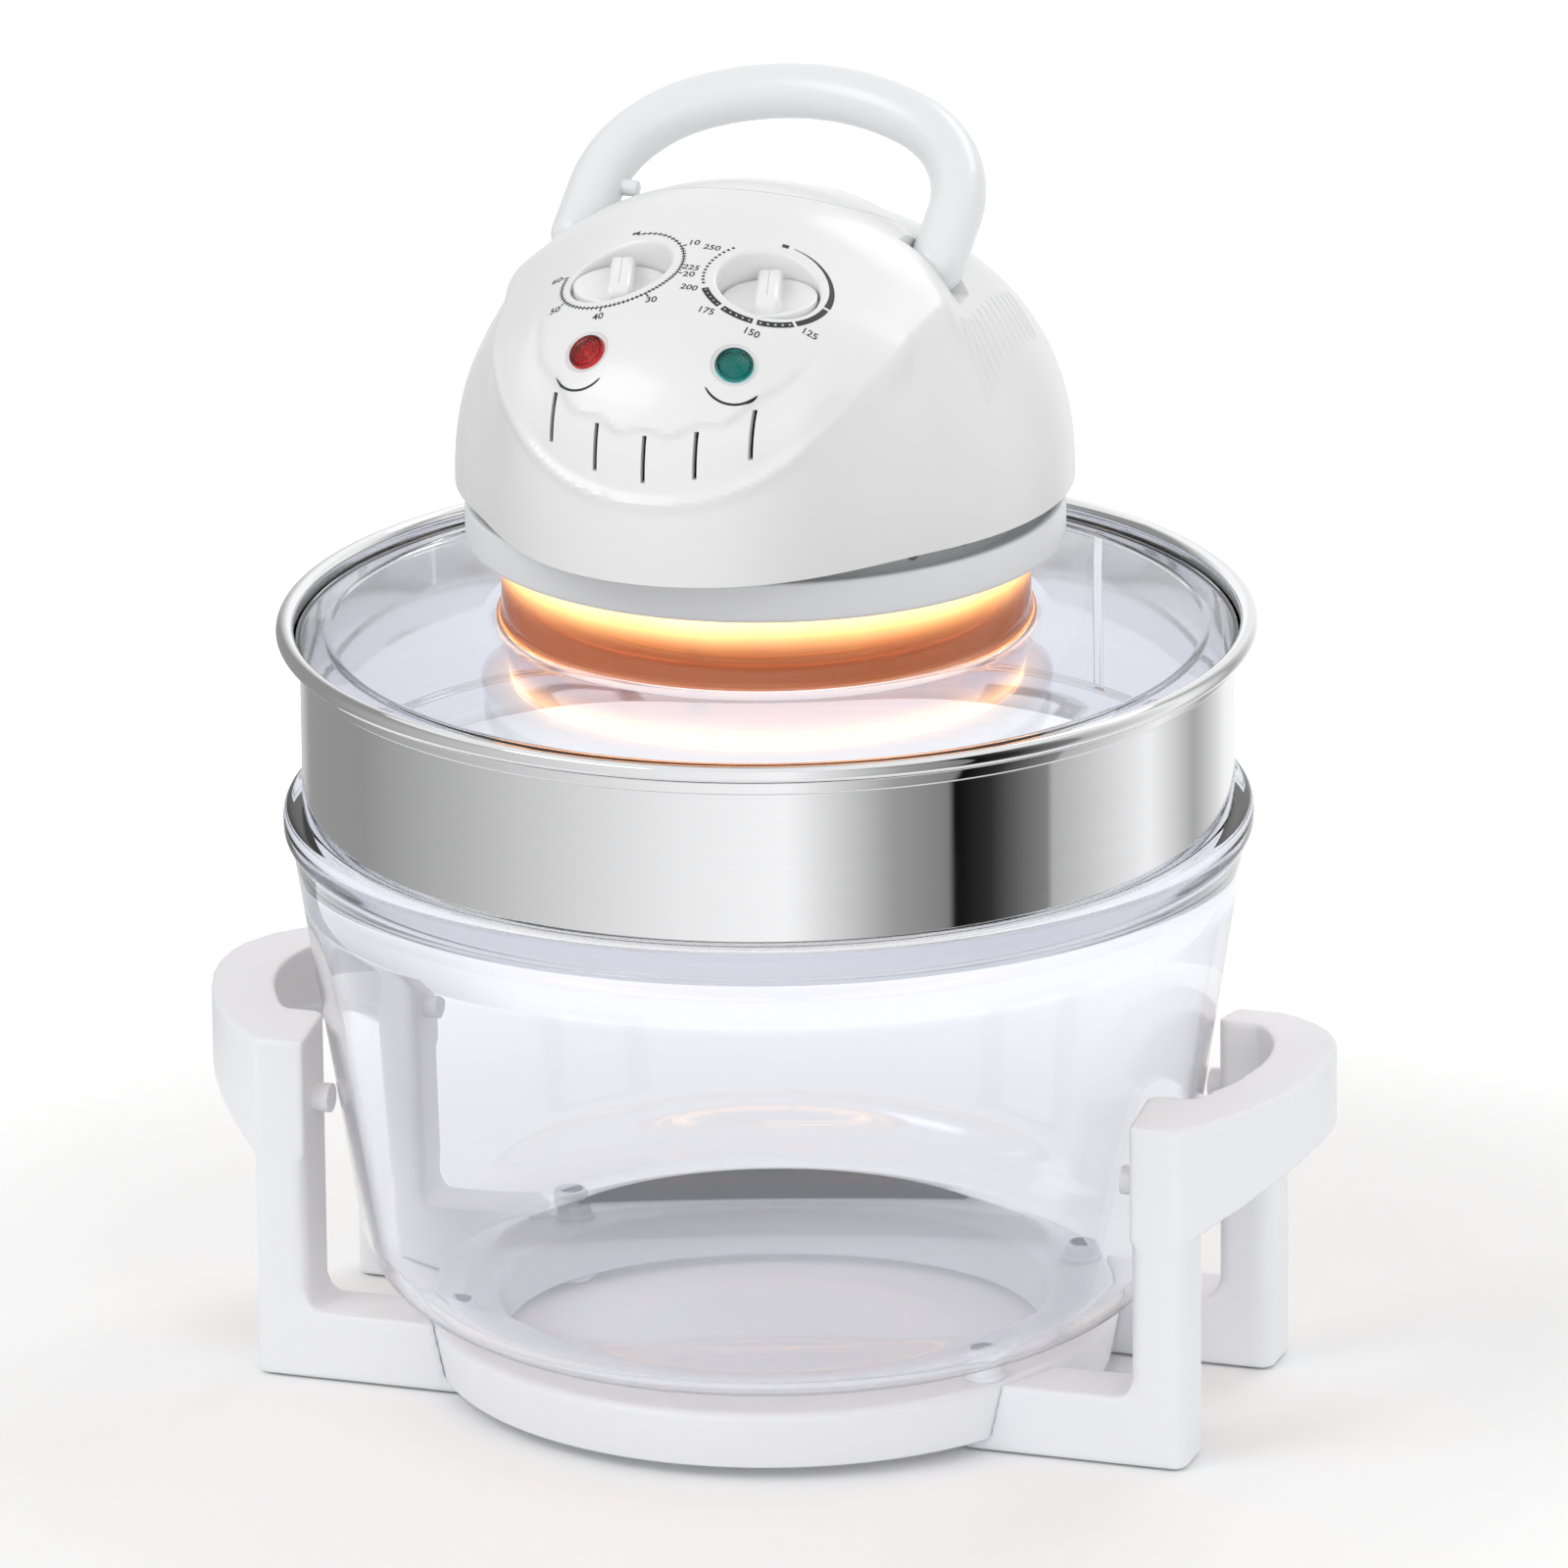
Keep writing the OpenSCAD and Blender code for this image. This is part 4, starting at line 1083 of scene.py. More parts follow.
@dataclass
class ExtenderRing:
    """Steel ring between bowl and lid, with a rolled bead round the lid's seat."""

    skirt_r: float = 153.5
    wall_r: float = 156.8
    seat_r: float = 158.7
    rim_z: float = 203.0
    seat_z: float = 258.0
    sheet: float = 1.0
    bead_r: float = 3.0
    bead_z: float = 264.7
    seam_turn: float = 62.0

    def build(self) -> None:
        """Makes the ring's sheet, its bead and the welded seam on its inside."""
        t, zr, zs = self.sheet, self.rim_z, self.seat_z
        out, skirt, seat = self.wall_r, self.skirt_r, self.seat_r
        corners = np.array([
            (skirt - t, zr - 12), (skirt, zr - 12), (skirt, zr), (out, zr), (out, zs - t),
            (seat + t, zs - t), (seat + t, self.bead_z), (seat, self.bead_z), (seat, zs),
            (out - t, zs), (out - t, zr + t), (skirt - t, zr + t),
        ])
        cuts = np.array([0.3, 0.3, 1.0, 1.6, 0.9, 0.8, 0.4, 0.4, 0.5, 0.4, 0.8, 0.8])
        turn = np.linspace(0, TURN, 28, endpoint=False)
        bead = np.stack(
            [
                seat + self.bead_r + self.bead_r * np.cos(turn),
                self.bead_z + self.bead_r * np.sin(turn),
            ],
            -1,
        )
        ring = join(lathe(soften(corners, cuts, 4), 288), lathe(bead, 288))
        place(
            mesh_object("extender_ring_rolled", ring, STEEL, 50), Body.EXTENDER, "stainless",
            "extender_ring",
        )
        self.seam()

    def seam(self) -> None:
        """Lapped strip up the inside of the wall, where the sheet's ends are welded."""
        angle = np.radians(self.seam_turn) + np.linspace(-2.2, 2.2, 9) / self.wall_r
        profile = np.array([0.2, 0.55, 0.6, 0.6, 0.6, 0.6, 0.6, 0.55, 0.2])
        rows, around = 6, 2 * len(profile)
        z = np.linspace(self.rim_z + 2, self.seat_z - 1.5, rows)[:, None]
        r = (self.wall_r - self.sheet - profile)[None, :]
        inner = np.stack([r * np.cos(angle) + 0 * z, r * np.sin(angle) + 0 * z, z + 0 * r], -1)
        back = self.wall_r - self.sheet + 0.2
        outer = np.stack(
            [back * np.cos(angle) + 0 * z, back * np.sin(angle) + 0 * z, z + 0 * r], -1
        )
        strip = grid(np.concatenate([inner, outer[:, ::-1]], axis=1))
        foot = np.arange(around)
        head = foot + around * (rows - 1)
        strip = Patch(strip.points, strip.faces + [foot[None, :], head[None, ::-1]])
        place(mesh_object("ring_weld_seam", strip, STEEL, 50), Body.EXTENDER, "stainless")


@dataclass
class Lid:
    """Glass lid with an upright neck, and the white collar that clamps it."""

    edge_r: float = 158.4
    seat_z: float = 258.0
    glass: float = 4.0
    rise: float = 8.5
    neck_r: float = 88.8
    neck_top: float = 303.0
    foot_z: float = 270.5
    collar_r: float = 100.6
    collar_z: float = 296.5
    collar_top: float = 310.5
    skirt_z: float = 317.0
    tub_r: float = 84.0
    tub_t: float = 3.0
    holes: int = 24

    def arch(self, r: Array) -> Array:
        """Height of the glass's top between its shoulder and the neck's foot.

        Args:
            r: Distances from the axis.

        Returns:
            One height for each.
        """
        out, inside = self.edge_r - 10, self.neck_r + 4
        t = (out - r) / (out - inside)
        return self.seat_z + self.glass + 1.5 + (self.rise - 2.5) * (1 - (1 - t) ** 1.6)

    def pane(self) -> None:
        """Makes the glass of the lid in one piece with its neck."""
        top, n, g = self.seat_z + self.glass, self.neck_r, self.glass
        r = np.linspace(self.edge_r - 10, n + 4, 24)
        over = np.stack([r, self.arch(r)], -1)
        under = np.stack([r - 0.5, self.arch(r) - g], -1)[::-1]
        edge = soften(
            np.array([
                (self.edge_r - 8, self.seat_z), (self.edge_r, self.seat_z), (self.edge_r, top),
                (self.edge_r - 8, top),
            ]), np.array([0, 0.9, 1.6, 0]), 6, closed=False,
        )
        foot = soften(
            np.array([
                (n + 4, self.arch(n + 4.0)), (n, self.foot_z - 0.2), (n, self.neck_top),
                (n - g, self.neck_top), (n - g, self.foot_z - g),
                (n + 3.5, self.arch(n + 4.0) - g),
            ]), np.array([0, 3.2, 0.8, 0.8, 3.0, 0]), 8, closed=False,
        )
        profile = np.vstack([edge, over, foot[1:-1], under])
        place(
            mesh_object("lid_pane", lathe(profile, 256), LID_GLASS, 60), Body.LID, "clear_glass",
            "glass_lid",
        )

    def collar(self) -> None:
        """Makes the collar's band and the vented tub on which the head sits."""
        n, c, b, tub = self.neck_r, self.collar_r, 3.0, self.tub_r
        corners = np.array([
            (n + 0.5, self.collar_z), (c, self.collar_z), (c, self.collar_top),
            (c - b, self.collar_top), (c - b, self.neck_top + 3),
            (tub + self.tub_t, self.neck_top + 3), (tub + self.tub_t, self.skirt_z),
            (tub, self.skirt_z), (tub, self.neck_top), (n + 0.5, self.neck_top),
        ])
        cuts = np.array([0.5, 2.2, 1.4, 1.2, 1.8, 1.6, 0.4, 0.4, 0.4, 0.4])
        ring = mesh_object(
            "collar_moulding", lathe(soften(corners, cuts, 6), 240), COLLAR_WHITE, 50
        )
        turn = np.linspace(0, TURN, 20, endpoint=False)
        z = (self.neck_top + 3 + self.skirt_z) / 2
        outline = np.stack([2.6 * np.cos(turn), z + 2.6 * np.sin(turn)], -1)
        hole = prism(outline, tub - 2, tub + self.tub_t + 2, (1, 2, 0))
        angles = np.radians(np.arange(self.holes) * 360 / self.holes + 7.5)
        cutters = [hole.moved(turned(a), (0, 0, 0)) for a in angles]
        carve(ring, mesh_object("vent_cutters", join(*cutters)))
        place(smooth(ring, 50), Body.LID, "white_plastic", "lid_collar")

    def build(self) -> None:
        """Makes the lid's pane and collar."""
        self.pane()
        self.collar()


def turned(angle: float) -> Array:
    """Matrix that turns against the clock round the z axis."""
    c, s = math.cos(angle), math.sin(angle)
    return np.array([[c, -s, 0], [s, c, 0], [0, 0, 1]])


def dress_nodes(finish: Finish, *names: str) -> None:
    """Gives CAD nodes a finish.

    Args:
        finish: What they are made of.
        names: The nodes.
    """
    for name in names:
        dress(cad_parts[name], finish)
        log.info("%s is dressed in %s", name, finish.name)


# Head


def rounded_max(a: Array, b: Array, r: float) -> Array:
    """Larger of two distances, rounded where they are within r of each other."""
    h = np.maximum(r - np.abs(a - b), 0) / r
    return np.maximum(a, b) + h * h * r / 4


def ramp(value: Array, low: float, high: float) -> Array:
    """Smooth step: 0 below low, 1 above high, and 3t^2 - 2t^3 between them."""
    t = np.clip((value - low) / (high - low), 0, 1)
    return t * t * (3 - 2 * t)


@dataclass(frozen=True)
class HeadForm:
    """Shape of the head as a distance that is negative inside it.

    The rear is half an ellipsoid. The front is a nose with a round plan, cut by a
    crowned panel surface that slopes up to the back and bends over at the lip.

    Attributes:
        skirt_z: Height of the skirt's foot, where the other heights begin.
        dome_r: Radius of the rear at the skirt.
        dome_h: Height of the rear.
        dome_round: Power of the height in the rear's form.
        nose_r: Half the nose's width, and the radius of its plan.
        nose_y: Distance of the plan's centre in front of the axis.
        panel_h: Height of the panel at the dials.
        panel_slope: Rise of the panel to the back.
        crown: Fall of the panel to both sides, by the square of the distance.
        dial_x: Distance of each dial from the middle.
        dial_y: Distance of the dials in front of the axis.
        knob_lean: Lean of the knobs' shafts in degrees.
        centre_y: Place from which rays go out to the skin.
        nose_flare: Widening of the nose to the back.
        wall_lean: Widening of the nose upwards.
        crest_h: Height of the crest behind the panel, on the axis.
        crest_slope: Fall of the crest to the back.
        lip_y: Distance of the lip in front of the axis.
        lip_bend: Retreat of the lip to both sides, by the square of the distance.
        lip_slope: Retreat of the lip upwards.
        lip_z: Height at which the lip's distance holds.
        corner_slope: Slope on the plan of the slanting sides behind the nose.
        corner_y: Where a slanting side meets the middle.
        blend_crest: Rounding between panel and crest.
        blend_lip: Rounding between panel and lip.
        blend_wall: Rounding of the panel's edge.
        blend_corner: Rounding at the slanting sides.
        blend_nose: Rounding between nose and rear.
        crease: Height of the crease under the vents, in the middle.
        crease_bend: Rise of the crease to both sides, by the square.
        crease_rise: The same, by the fourth power.
        band: Height of the sunk band over the crease.
        band_half: Half its width.
        ridge_half: Half the width of the ridge along the crease.
        wave: Length of one wave of the band's edge.
        wave_h: Height of the waves.
        sink: Depth of the band.
        swell: Height of the ridge.
    """

    skirt_z: float = 317.0
    dome_r: float = 103.8
    dome_h: float = 92.4
    dome_round: float = 2.4
    nose_r: float = 67.5
    nose_y: float = 59.5
    panel_h: float = 89.8
    panel_slope: float = 0.29
    crown: float = 0.0052
    dial_x: float = 25.6
    dial_y: float = 71.2
    knob_lean: float = 6.0
    centre_y: float = -12.0
    nose_flare: float = 0.22
    wall_lean: float = 0.06
    crest_h: float = 104.0
    crest_slope: float = 0.5
    lip_y: float = 131.5
    lip_bend: float = 0.004
    lip_slope: float = 0.15
    lip_z: float = 30.0
    corner_slope: float = 1.1
    corner_y: float = 55.6
    blend_crest: float = 20.0
    blend_lip: float = 43.0
    blend_wall: float = 5.0
    blend_corner: float = 8.0
    blend_nose: float = 16.0
    crease: float = 30.0
    crease_bend: float = 0.0052
    crease_rise: float = 7e-7
    band: float = 21.5
    band_half: float = 52.0
    ridge_half: float = 78.0
    wave: float = 17.2
    wave_h: float = 1.1
    sink: float = 1.7
    swell: float = 0.9

    def depth(self, p: Array) -> Array:
        """Distance of points from the skin, negative inside.

        Args:
            p: Places, with x, y and z last.

        Returns:
            One distance for each.
        """
        x, y, z = p[..., 0], p[..., 1], p[..., 2]
        up = z - self.skirt_z
        dome = np.sqrt(
            (x * x + y * y) / self.dome_r**2 + (np.maximum(up, 0) / self.dome_h) ** self.dome_round
        )
        dome = (dome - 1) * self.dome_r
        plan = np.where(y < -self.nose_y, np.hypot(x, y + self.nose_y) - self.nose_r,
                        np.abs(x) - self.nose_r - self.nose_flare * (y + self.nose_y))
        wall = plan - self.wall_lean * up
        panel = (
            up - self.panel_h - self.crown * self.dial_x**2 - self.panel_slope * (y + self.dial_y)
            + self.crown * x * x
        ) * 0.96
        crest = (up - self.crest_h + self.crest_slope * y + self.crown * x * x) * 0.9
        lip = -(y + self.lip_y - self.lip_bend * x * x - self.lip_slope * (up - self.lip_z)) * 0.99
        corner = (
            self.corner_slope * np.abs(x) + y - self.corner_y
        ) / math.hypot(self.corner_slope, 1)
        top = rounded_max(rounded_max(panel, crest, self.blend_crest), lip, self.blend_lip)
        nose = rounded_max(rounded_max(wall, top, self.blend_wall), corner, self.blend_corner)
        return -rounded_max(-dome, -nose, self.blend_nose) + self.relief(x, y, up)

    def relief(self, x: Array, y: Array, up: Array) -> Array:
        """How far the skin is sunk in the scalloped band that holds the vent slots.

        The band lies over the crease, whose height is crease + crease_bend x^2 +
        crease_rise x^4, and its upper edge waves once a slot. A low ridge follows the
        crease and runs on up both sides of the panel.

        Args:
            x: Places to the right.
            y: Places to the back.
            up: Heights over the skirt.

        Returns:
            One depth for each place, negative on the ridge.
        """
        slope = 2 * self.crease_bend * x + 4 * self.crease_rise * x**3
        line = self.crease + self.crease_bend * x * x + self.crease_rise * x**4
        over = (up - line) / np.sqrt(1 + slope * slope)
        top = self.band + self.wave_h * np.cos(x * TURN / self.wave)
        sunk = ramp(over, -1.4, 1.8) * ramp(top - over, -1.6, 1.6)
        sunk = sunk * ramp(self.band_half - np.abs(x), 0, 14)
        ridge = np.exp(-(((over + 1.6) / 2.4) ** 2)) * ramp(self.ridge_half - np.abs(x), 0, 12)
        front = ramp(-y, 24, 44)
        return front * (self.sink * sunk - self.swell * ridge)

    def on_rays(self, way: Array, inset: float = 0.0) -> Array:
        """Skin places along rays from the middle of the head, by halving.

        Args:
            way: Unit direction of each ray.
            inset: How far inside the skin to stop.

        Returns:
            One place for each ray.
        """
        start = np.array([0, self.centre_y, self.skirt_z])
        near, far = np.full(way.shape[:-1], 25.0), np.full(way.shape[:-1], 195.0)
        for _ in range(26):
            middle = (near + far) / 2
            inside = self.depth(start + way * middle[..., None]) + inset < 0
            near, far = np.where(inside, middle, near), np.where(inside, far, middle)
        return start + way * near[..., None]

    def slide(self, p: Array, way: Array, reach: float = 12.0) -> Array:
        """Moves points along a direction until they lie on the skin.

        Args:
            p: The points.
            way: Unit direction out of the head.
            reach: Furthest that a point may move.

        Returns:
            The points on the skin.
        """
        low, high = np.full(p.shape[:-1], -reach), np.full(p.shape[:-1], reach)
        for _ in range(24):
            middle = (low + high) / 2
            inside = self.depth(p + way * middle[..., None]) < 0
            low, high = np.where(inside, middle, low), np.where(inside, high, middle)
        return p + way * low[..., None]

    def height(self, x: Array | float, y: Array | float) -> Array:
        """Height of the skin over places on the plan.

        Args:
            x: Places to the right.
            y: Places to the back.

        Returns:
            One height for each.
        """
        x, y = np.broadcast_arrays(np.asarray(x, float), np.asarray(y, float))
        p = np.stack([x, y, np.full(x.shape, self.skirt_z + 75.0)], -1)
        return self.slide(p, np.array([0, 0, 1.0]), 55.0)[..., 2]

    def facing(self, p: Array) -> Array:
        """Unit normal of the skin near points, from differences of the distance.

        Args:
            p: Points near the skin.

        Returns:
            One unit vector for each.
        """
        steps = np.eye(3) * 0.05
        slope = np.stack([self.depth(p + s) - self.depth(p - s) for s in steps], -1)
        return slope / np.linalg.norm(slope, axis=-1, keepdims=True)

    def seat(self, x: float, y: float) -> tuple[Array, Array]:
        """Matrix and place of what sits on the skin at a place on the plan.

        Local +Z is the skin's normal there and local +Y points up the slope.

        Args:
            x: Place to the right.
            y: Place to the back.

        Returns:
            The matrix and the place.
        """
        sx = float(self.height(x + 2, y) - self.height(x - 2, y)) / 4
        sy = float(self.height(x, y + 2) - self.height(x, y - 2)) / 4
        turn = Euler((
            math.asin(sy / math.sqrt(sx * sx + sy * sy + 1)), math.atan(-sx), 0
        )).to_matrix()
        return np.array(turn), np.array([x, y, float(self.height(x, y))])

    def shaft(self, x: float) -> tuple[Array, Array]:
        """Matrix and place of a knob's shaft, with the skin at local zero."""
        turn = Euler((math.radians(self.knob_lean), 0, 0)).to_matrix()
        return np.array(turn), np.array([x, -self.dial_y, float(self.height(x, -self.dial_y))])

    def body(self, inset: float, drop: float, columns: int, rows: int) -> Patch:
        """Closed body inside the skin, with even columns round the skirt.

        Args:
            inset: How far inside the skin it lies.
            drop: How far its underside lies below the skirt.
            columns: Points round it.
            rows: Points from the skirt to the top.

        Returns:
            The body.
        """
        rough = np.linspace(0, TURN, 721)
        low = math.radians(25)
        ways = np.stack(
            [
                np.cos(rough) * math.cos(low), np.sin(rough) * math.cos(low),
                np.full(721, math.sin(low)),
            ],
            -1,
        )
        line = self.on_rays(ways, inset)
        run = np.concatenate([[0], np.cumsum(np.linalg.norm(np.diff(line, axis=0), axis=1))])
        az = np.interp(np.arange(columns) / columns * run[-1], run, rough)[None, :]
        el = np.linspace(0, math.pi / 2, rows)[:, None]
        way = np.stack([np.cos(az) * np.cos(el), np.sin(az) * np.cos(el), np.sin(el) + 0 * az], -1)
        skin = self.on_rays(way, inset)
        bottom = skin[0] - np.array([0, 0, drop])
        centre = np.broadcast_to([0, self.centre_y, self.skirt_z - drop], bottom.shape)
        lower = [centre, bottom] if drop > 0 else [centre]
        return grid(np.concatenate([np.array(lower), skin]))


@dataclass
class HeadShell:
    """Housing of the head in two mouldings: the front with its panel, and the cover."""

    form: HeadForm = field(default_factory=HeadForm)
    wall: float = 2.5
    grip_half: float = 62.7
    tube_r: float = 9.4
    pivot_y: float = -6.0
    pivot_z: float = 396.7
    rest_angle: float = 30.7
    pocket_back: float = 40.0
    vent_pitch: float = 17.2
    vent_w: float = 1.5
    vent_h: float = 15.5
    vent_low: float = 35.0
    vent_rise: float = 2.1
    lamp_y: float = 107.1
    lamp_r: float = 6.3
    cover_y: float = 38.4
    cover_r: float = 60.4
    cover_half: float = 50.0
    well_r: float = 16.8
    well_depth: float = 9.2
    bush_r: float = 5.1
    ribs: int = 12
    rib_w: float = 2.5
    rib_h: float = 0.8

    def pocket(self, grow: float) -> Patch:
        """Space that the handle's lowered legs lie in, grown all round.

        Args:
            grow: How far it is grown.

        Returns:
            Cutters of both pockets.
        """
        tilt = math.tan(math.radians(self.rest_angle))
        under = self.tube_r + 0.8
        front, floor = self.pivot_y - under, self.pivot_z - under
        bend = self.pivot_y + (under / math.cos(math.radians(self.rest_angle)) - under) / tilt
        back, top = self.pocket_back, self.form.skirt_z + 120
        rise = (back - bend) * tilt
        outline = np.array([
            (front - grow, floor - grow), (bend, floor - grow), (back, floor - grow + rise),
            (back, top), (front - grow, top),
        ])
        left = self.grip_half - self.tube_r - 0.4 - grow
        right = self.grip_half + self.tube_r + 3 + grow
        return join(*[
            prism(outline, *ends, (1, 2, 0)) for ends in ((left, right), (-right, -left))
        ])

    def cover_outline(self, grow: float) -> Array:
        """Plan of the cover behind the panel: a circle cut off at both sides.

        Args:
            grow: How far it is grown.

        Returns:
            The outline's points.
        """
        turn = np.linspace(0, TURN, 180, endpoint=False)
        circle = np.stack(
            [np.cos(turn), np.sin(turn)], -1
        ) * (self.cover_r + grow) + [0, self.cover_y]
        half = self.cover_half + grow
        return np.stack([np.clip(circle[:, 0], -half, half), circle[:, 1]], -1)

    def vents(self) -> Patch:
        """Cutters of the five slots under the lip.

        Returns:
            The five cutters.
        """
        slots = []
        for i in range(-2, 3):
            low = self.form.skirt_z + self.vent_low + self.vent_rise * i * i
            left = i * self.vent_pitch - self.vent_w / 2
            right = i * self.vent_pitch + self.vent_w / 2
            slots.append(slab((left, -137, low), (right, -105, low + self.vent_h)))
        return join(*slots)

    def cups(self) -> Patch:
        """What is left standing round the knobs' wells inside the housing.

        Returns:
            Both cups.
        """
        cup = prism(self.circle(72) * (self.well_r + 2), -self.well_depth - 2, 20)
        return join(*[cup.moved(*self.form.shaft(side * self.form.dial_x)) for side in (-1, 1)])

    @staticmethod
    def circle(count: int) -> Array:
        """Points of a unit circle on the plan."""
        turn = np.linspace(0, TURN, count, endpoint=False)
        return np.stack([np.cos(turn), np.sin(turn)], -1)

    def knob_well(self, side: int) -> Patch:
        """Cutter of the well that a knob is sunk in, with a rounded lip.

        Its floor and wall follow the shaft. Near the panel each ring of points lies a
        given height over the skin, measured along the shaft, so the lip is even.

        Args:
            side: -1 for the well on the left, 1 for the right.

        Returns:
            The cutter.
        """
        matrix, at = self.form.shaft(side * self.form.dial_x)
        axis, ring = matrix[:, 2], self.circle(120)

        def points(radius: float) -> Array:
            """Places round the shaft at a radius."""
            return at + radius * ring @ matrix[:, :2].T

        rows = [points(0.0) - axis * self.well_depth, points(self.well_r) - axis * self.well_depth]
        for radius, over in (
            (0.0, -1.7), (0.12, -1.0), (0.42, -0.45), (0.95, -0.1), (1.7, 0.1), (2.0, 9.0)
        ):
            rows.append(self.form.slide(points(self.well_r + radius), axis, 15.0) + axis * over)
        rows.append(np.broadcast_to(at + axis * 16, rows[0].shape))
        return grid(np.array(rows))

    def holes(self) -> Patch:
        """Cutters for the dials' bushes and for the lamps with their shallow seats.

        Returns:
            The cutters.
        """
        parts, r = [], self.lamp_r
        bush = prism(self.circle(64) * self.bush_r, -self.well_depth - 4, -self.well_depth + 1)
        corners = [
            (0, -12), (r + 0.1, -12), (r + 0.1, -0.8), (r + 1.4, -0.7), (r + 2.2, 0.5),
            (r + 2.2, 6), (0, 6),
        ]
        seat = lathe(soften(np.array(corners), np.array([0, 0, 0, 0.5, 0.4, 0, 0]), 5), 64)
        for side in (-1, 1):
            parts.append(bush.moved(*self.form.shaft(side * self.form.dial_x)))
            parts.append(seat.moved(*self.form.seat(side * self.form.dial_x, -self.lamp_y)))
        return join(*parts)

    def shoulder_ribs(self) -> None:
        """Fine upright ribs on both shoulders beside the handle's pockets."""
        strips = join(*[self.rib(i) for i in range(self.ribs)])
        rib = mesh_object("shoulder_ribs", join(strips, strips.mirrored()), WHITE, 60)
        place(rib, Body.LID, "white_plastic")

    def rib(self, number: int) -> Patch:
        """One rib that follows the skin down the shoulder, straight on the plan.

        Its height over the skin is h (1 - a^2) times a fade at both ends, where a
        runs from -1 to 1 across the rib.

        Args:
            number: Its number from the front.

        Returns:
            The rib's upper face.
        """
        start, end = np.array([76.3, -24.6 + 4.7 * number]), np.array([
            89.9, -33.4 + 4.65 * number
        ])
        along = np.linspace(0, 1, 28)[:, None]
        across = np.linspace(-1, 1, 9)[None, :]
        plan = start + (end - start) * along
        line = np.column_stack([plan, self.form.height(plan[:, 0], plan[:, 1])])
        normal = self.form.facing(line)
        ahead = np.gradient(line, axis=0)
        side = np.cross(normal, ahead)
        side = side / np.linalg.norm(side, axis=1, keepdims=True)
        points = line[:, None, :] + side[:, None, :] * (across * self.rib_w / 2)[..., None]
        points = self.form.slide(points, normal[:, None, :], 3.0)
        fade = np.clip(np.minimum(along, 1 - along) * 7, 0, 1) ** 0.5
        lift = self.rib_h * (1 - across**2) * fade - 0.12
        return grid(points + normal[:, None, :] * lift[..., None], wrap_columns=False)

    def build(self) -> None:
        """Makes the two mouldings and the ribs."""
        form = self.form
        room = mesh_object("room", form.body(self.wall, 5, 150, 40))
        carve(room, mesh_object("pocket_walls", self.pocket(2.0)))
        carve(room, mesh_object("cups", self.cups()))
        shell = mesh_object("housing", form.body(0, 0, 500, 132))
        carve(shell, room)
        carve(shell, mesh_object("pockets", self.pocket(0.0)))
        cover = shell.copy()
        cover.data = shell.data.copy()
        cover.name = "cover"
        bpy.context.scene.collection.objects.link(cover)
        base = form.skirt_z + 40
        carve(
            shell,
            mesh_object("cover_space", prism(self.cover_outline(0.5), base - 0.5, base + 100)),
        )
        carve(
            cover, mesh_object("cover_keep", prism(self.cover_outline(0.0), base, base + 100)),
            Cut.KEEP,
        )
        carve(shell, mesh_object("vents", self.vents()))
        for side in (-1, 1):
            carve(shell, mesh_object("well", self.knob_well(side)))
        carve(shell, mesh_object("holes", self.holes()))
        shell.name, cover.name = "head_front", "head_cover"
        for piece, node in ((shell, "front_housing"), (cover, "rear_cover")):
            smooth(dress(piece, WHITE), 32)
            place(piece, Body.LID, "white_plastic", node)
        self.shoulder_ribs()


# Controls


